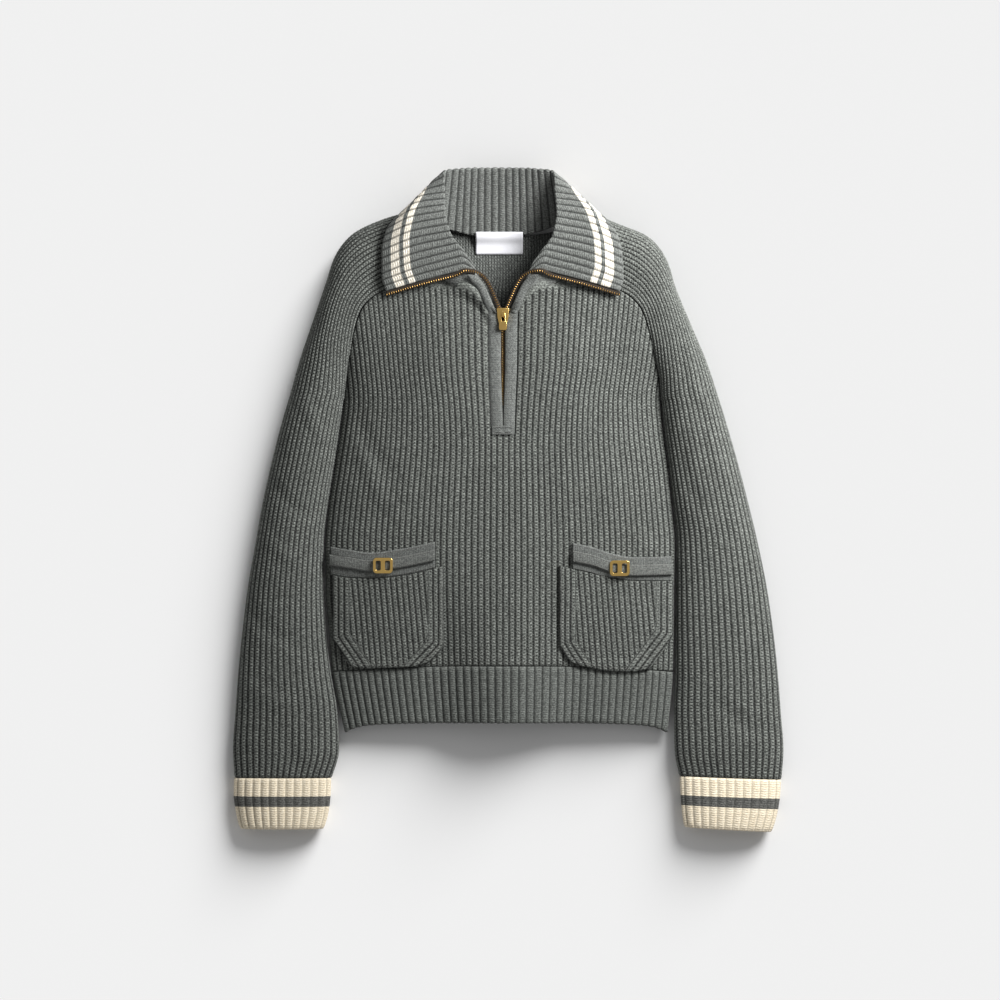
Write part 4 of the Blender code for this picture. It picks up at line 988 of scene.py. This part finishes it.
def makeZip(edges):
    # One row of teeth follows each front edge of the collar. It lies on the neck side of the
    # stand, crosses the edge at the fold, and goes on outside the leaf.
    teeth = []
    share = np.linspace(zipper["start"], 1.0, 200)
    cross = ease((share - 0.26) / 0.24)[:, None]
    fold = hump((share - 0.37) / 0.16)[:, None]
    up = np.array([0.0, 0.0, 1.0])
    for side, line, turn in (("Left", edges[0], 1), ("Right", edges[1], -1)):
        if abs(line[0, 0] - zipX) > abs(line[-1, 0] - zipX):
            line = line[::-1]
        path = pointsAt(line, share * runOf(line)[-1])
        along = unit(np.gradient(path, axis=0))
        away = unit(np.column_stack([-along[:, 1], along[:, 0], 0 * along[:, 2]])) * turn
        middle = path + away * (-4.8 + 7.7 * cross) + up * (-1.1 + 2.3 * fold)
        row = path + away * (-5.2 + 9.1 * cross) + up * (-0.9 + 2.6 * fold)
        teeth.append(placeRow("teeth" + side, row, "teeth", zipper["toothStep"],
                              zipper["toothSize"]))
        # A soft rolled band follows the zip on the body's side, from the placket to the fold.
        beside = share < 0.37
        band = path + away * 4.0 + up * (2.6 - 3.5 * (1 - ease((share - 0.02) / 0.09))[:, None])
        width = zipper["bandHalf"] * ease((0.37 - share[beside]) / 0.1 + 0.3)
        ribbon("zipBand" + side, band[beside], away[beside], width[:, None], rolledBand)
        for part, piece in (("", share > 0.345), ("Stand", share < 0.35)):
            along = np.gradient(middle[piece], axis=0)
            across = unit(np.column_stack([-along[:, 1], along[:, 0], 0 * along[:, 2]]))
            ribbon("tapeCloth" + side + part, middle[piece], across, zipper["tapeHalf"], tape)
    joinAll("openTeeth", teeth)
    levels = np.linspace(slitBottom + 8.0, zipper["chainTop"], 60)
    x = np.full(60, zipX)
    chain = np.column_stack([x, levels, frontHeight(x, levels) - 1.0])
    ribbon("chainTape", resample(chain, 90), acrossX, zipper["chainHalf"], chainTape)
    closed = []
    for shift in ((-0.9, 0.0, 0.35), (0.9, 1.35, 0.35)):
        row = chain + shift
        row = row[row[:, 1] > zipper["closedFrom"]]
        closed.append(placeRow("closed", row, "teeth", zipper["toothStep"], zipper["closedSize"]))
    joinAll("closedTeeth", closed)


# Metal and stitches

def roundedRectangle(width, length, radius, steps):
    points = []
    for n, (sx, sy) in enumerate(((1, 1), (-1, 1), (-1, -1), (1, -1))):
        for k in range(steps + 1):
            angle = math.pi / 2 * (n + k / steps)
            points.append((sx * (width / 2 - radius) + radius * math.cos(angle),
                           sy * (length / 2 - radius) + radius * math.sin(angle)))
    return points


def metalPiece(build, name, place, smooth=True):
    bmesh.ops.recalc_face_normals(build, faces=build.faces)
    for vertex in build.verts:
        vertex.co = [(value + shift) * mm for value, shift in zip(vertex.co, place)]
    mesh = bpy.data.meshes.new(name)
    build.to_mesh(mesh)
    build.free()
    mesh.materials.append(finishes["brass"])
    if smooth:
        mesh.polygons.foreach_set("use_smooth", np.ones(len(mesh.polygons), bool))
        mesh.set_sharp_from_angle(angle=math.radians(35))
    made[name] = addObject(name, mesh)
    return made[name]


def metalPlate(name, outline, holes, thickness, place, bevel=0.35):
    # A plate with windows and softened edges.
    build = bmesh.new()
    levels = [], []
    for loop in [outline] + holes:
        low, high = ([build.verts.new((x, y, z)) for x, y in loop] for z in (0.0, thickness))
        for corners in zip(low, low[1:] + low[:1], high[1:] + high[:1], high):
            build.faces.new(corners)
        for level, rim in zip(levels, (low, high)):
            level += [build.edges.get(pair) for pair in zip(rim, rim[1:] + rim[:1])]
    for level in levels:
        bmesh.ops.triangle_fill(build, edges=level, use_beauty=True)
    bmesh.ops.bevel(build, geom=levels[0] + levels[1], offset=bevel, segments=3, profile=0.5,
                    affect="EDGES", clamp_overlap=True)
    return metalPiece(build, name, place)


buckle = {"width": 22.0, "length": 17.5, "corner": 4.0, "thickness": 1.8, "window": (5.4, 10.5),
          "centres": {"Left": (-137.0, -74.0), "Right": (126.5, -77.0)}, "lift": 7.8}


def makeBuckles():
    for side, centre in buckle["centres"].items():
        windows = [[(x + shift, y) for x, y in roundedRectangle(*buckle["window"], 1.4, 3)][::-1]
                   for shift in (-5.2, 5.2)]
        xs = centre[0] + np.array([-11.0, 11.0, 0.0])
        base = float(frontHeight(xs, np.full(3, centre[1])).max()) + buckle["lift"]
        outline = roundedRectangle(buckle["width"], buckle["length"], buckle["corner"], 5)
        metalPlate("buckle" + side, outline, windows, buckle["thickness"], (*centre, base))


sliderHalf = [(4.0, -5.0), (4.7, -4.4), (6.2, 2.0), (7.0, 11.5), (6.6, 12.5)]
sliderSlot = [(-1.8, 2.1), (1.8, 2.1), (1.8, -3.6), (-1.8, -3.6)]
# The bail that the pull tab swings on, seen from the side
bail = [(-3.4, -1.6), (-1.9, -1.6), (-1.9, 1.0), (-1.5, 1.3), (1.3, 1.3), (1.7, 1.0),
        (1.7, -1.6), (3.2, -1.6), (3.2, 1.8), (2.2, 2.8), (-2.4, 2.8), (-3.4, 1.8)]
tabHalf = [(2.7, 0.8), (2.7, -7.5), (3.4, -8.6), (4.3, -9.5), (4.6, -16.0), (3.6, -18.3)]
tabWindow = [(-1.6, -0.8), (1.6, -0.8), (1.6, -8.0), (-1.6, -8.0)]


def mirrored(half):
    return [(-x, y) for x, y in half] + half[::-1]


def makeSlider():
    base = float(frontHeight(zipX, np.array(150.0))) + 2.5
    body = metalPlate("sliderBody", mirrored(sliderHalf[::-1]), [sliderSlot], 4.0,
                      (zipX, 200.0, base), 0.6)
    arch = bmesh.new()
    near, far = ([arch.verts.new((x, y, z)) for y, z in bail] for x in (-1.1, 1.1))
    for n in range(len(bail)):
        arch.faces.new((near[n - 1], far[n - 1], far[n], near[n]))
    arch.faces.new(near)
    arch.faces.new(far)
    arch = metalPiece(arch, "sliderArch", (zipX, 206.0, base + 5.2), False)
    joinAll("zipSlider", [body, arch])
    metalPlate("zipPull", mirrored(tabHalf), [tabWindow], 1.6, (zipX, 206.0, base + 4.4), 0.3)


stitch = {"step": 3.1, "size": (2.1, 0.55, 0.5), "uneven": 0.15, "mouthUneven": 0.1,
          "mouthRows": ((2.2, 3.7), (9.8, 7.5), (19.4, 7.5), (28.0, 3.9)),
          "boxStep": 2.2, "boxSize": (1.5, 0.5, 0.5)}


def makeStitches():
    rows = []

    def sew(path, lift, step, size, uneven):
        path = np.array(path, dtype=float)
        x, y = resample(path, max(int(runOf(path)[-1] / 1.5), 4)).T
        line = np.column_stack([x, y, frontHeight(x, y) + lift + padding(x, y)])
        rows.append(placeRow("stitchRow", line, "thread", step, size, uneven, 0))

    for table in pocketRows.values():
        x, top, foot = np.array(table, dtype=float).T
        x, foot = x + np.sign(x.mean() - x) * 3.0, foot + 3.2
        path = [(x[0], top[0] - 3), *zip(x, foot), (x[-1], top[-1] - 3)]
        sew(path, pocket["lift"] + pocket["wall"] + pocket["ribHeight"] - 0.2, stitch["step"],
            stitch["size"], stitch["uneven"])
    for mouth in mouthRows.values():
        x = np.linspace(mouth[0][0] + 1.5, mouth[-1][0] - 1.5, 40)
        for drop, lift in stitch["mouthRows"]:
            sew(np.column_stack([x, tableAt(mouth, x)[0] - drop]), lift, stitch["step"],
                stitch["size"], stitch["mouthUneven"])
    for level in (slitBottom, slitBottom + 7.2):
        sew([(zipX - 10.5, level), (zipX + 10.5, level)], 3.95, stitch["boxStep"],
            stitch["boxSize"], stitch["mouthUneven"])
    joinAll("stitches", rows)


makeFront()
print("front knitted")
makeBack()
makeHem()
print("back and hem knitted")
makeSleeves()
print("sleeves and cuffs knitted")
edges = makeCollar()
makePocket("Left")
makePocket("Right")
makePlacket()
print("collar, pockets and placket made")
makeZip(edges)
makeBuckles()
makeSlider()
makeStitches()
print("zip, metal and stitches made")

# The CAD node that each piece stands for, its slot, and its flat width, length and area in
# metres where it is a sheet of cloth
pieceTable = [
    ("frontKnit", "front_panel", "grey_wool", 0.45, 0.44, 0.178),
    ("backKnit", "back_panel", "grey_wool", 0.43, 0.51, 0.185),
    ("hemKnit", "hem_front", "grey_rib", 0.44, 0.065),
    ("hemBackKnit", "hem_back", "grey_rib", 0.39, 0.06),
    ("sleeveKnitLeft", "sleeve_left", "grey_wool", 0.27, 0.72, 0.15),
    ("sleeveKnitRight", "sleeve_right", "grey_wool", 0.27, 0.71, 0.15),
    ("cuffKnitLeft", "cuff_left", "cream_rib", 0.25, 0.06),
    ("cuffKnitRight", "cuff_right", "cream_rib", 0.25, 0.06),
    ("collarKnit", "collar", "grey_rib", 0.5, 0.145, 0.06),
    ("pocketKnitLeft", "pocket_left", "grey_wool", 0.125, 0.108, 0.0115),
    ("pocketKnitRight", "pocket_right", "grey_wool", 0.128, 0.11, 0.0118),
    ("bandKnitLeft", "pocket_band_left", "plain_knit", 0.118, 0.031),
    ("bandKnitRight", "pocket_band_right", "plain_knit", 0.112, 0.031),
    ("strapKnitLeft", "pocket_strap_left", "plain_knit", 0.118, 0.0125),
    ("strapKnitRight", "pocket_strap_right", "plain_knit", 0.112, 0.0125),
    ("placketKnitLeft", "placket_left", "plain_knit", 0.0135, 0.139),
    ("placketKnitRight", "placket_right", "plain_knit", 0.0135, 0.139),
    ("placketEndKnit", "placket_end", "plain_knit", 0.025, 0.0105),
    ("labelCloth", "neck_label", "label_cloth", 0.053, 0.025),
    ("tapeClothLeft", "zip_tape_left", "zip_tape"),
    ("tapeClothRight", "zip_tape_right", "zip_tape"),
    ("tapeClothLeftStand", "zip_tape_left_stand", "zip_tape"),
    ("tapeClothRightStand", "zip_tape_right_stand", "zip_tape"),
    ("zipBandLeft", "", "plain_knit"),
    ("zipBandRight", "", "plain_knit"),
    ("chainTape", "zip_chain", "zip_tape"),
    ("openTeeth", "", "brass"),
    ("closedTeeth", "", "brass"),
    ("buckleLeft", "buckle_left", "brass"),
    ("buckleRight", "buckle_right", "brass"),
    ("zipSlider", "zip_slider", "brass"),
    ("zipPull", "zip_pull", "brass"),
    ("stitches", "", "plain_knit"),
]
# What each sheet rests on where that isn't the front
restsOn = {"frontKnit": "backKnit", "hemKnit": "hemBackKnit", "labelCloth": "backKnit",
           **dict.fromkeys(("backKnit", "hemBackKnit", "sleeveKnitLeft", "sleeveKnitRight",
                            "cuffKnitLeft", "cuffKnitRight"), "the surface")}
for thing in made.values():
    thing.data.transform(Matrix.Translation((centreShift * mm, 0, 0)))
triangles = 0
for name, node, slot, *flat in pieceTable:
    thing = made[name]
    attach(thing, "pull" if name == "zipPull" else "garment")
    if node:
        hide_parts(node)
    triangles += sum(len(face.vertices) - 2 for face in thing.data.polygons)
print("triangles in all:", triangles)

# Floor, camera and light. The sun lights the floor and the lamp lights the sweater, so that
# the light falls off over the cloth while the floor stays even.
studio = {"sunPower": 5.1, "sunSpread": 34.0, "sunPlace": (0.62, 1.0, 0.53), "lampPower": 130.0,
          "lampSize": 0.35, "lampPlace": (0.78, 0.72, 0.82), "world": 0.43, "floor": 0.82,
          "gamma": 0.8, "cameraHeight": 6.0, "frameWidth": 1.12}
floorMesh = bpy.data.meshes.new("floor")
floorMesh.from_pydata([(-4, -4, 0), (4, -4, 0), (4, 4, 0), (-4, 4, 0)], [], [(0, 1, 2, 3)])
floor = addObject("floor", floorMesh)
floor.location.z = -0.0005
paper, paperTree = newFinish("paper")
paperShader = paperTree.nodes["Principled BSDF"]
paperShader.inputs["Base Color"].default_value = (*[studio["floor"]] * 3, 1)
paperShader.inputs["Roughness"].default_value = 0.95
paperShader.inputs["Specular IOR Level"].default_value = 0.0
floorMesh.materials.append(paper)
sun = bpy.data.lights.new("sun", "SUN")
sun.angle, sun.energy = math.radians(studio["sunSpread"]), studio["sunPower"]
lamp = bpy.data.lights.new("lamp", "POINT")
lamp.shadow_soft_size, lamp.energy = studio["lampSize"], studio["lampPower"]
for light, place, things in ((sun, studio["sunPlace"], [floor]),
                             (lamp, studio["lampPlace"], made.values())):
    holder = addObject(light.name, light)
    holder.location = place
    holder.rotation_euler = (-holder.location).to_track_quat("-Z", "Y").to_euler()
    lit = bpy.data.collections.new(light.name + "Lit")
    for thing in things:
        lit.objects.link(thing)
    holder.light_linking.receiver_collection = lit
scene = bpy.context.scene
scene.world = bpy.data.worlds.new("studio")
scene.world.use_nodes = True
sky = scene.world.node_tree.nodes["Background"].inputs
sky["Color"].default_value = (1, 1, 1, 1)
sky["Strength"].default_value = studio["world"]
scene.view_settings.view_transform = "Standard"
scene.view_settings.gamma = studio["gamma"]

camera = bpy.data.cameras.new("camera")
camera.lens = 36.0 * studio["cameraHeight"] / studio["frameWidth"]
camera.clip_end = 50.0
scene.camera = addObject("camera", camera)
scene.camera.location = (-0.0092, -0.0011, studio["cameraHeight"])
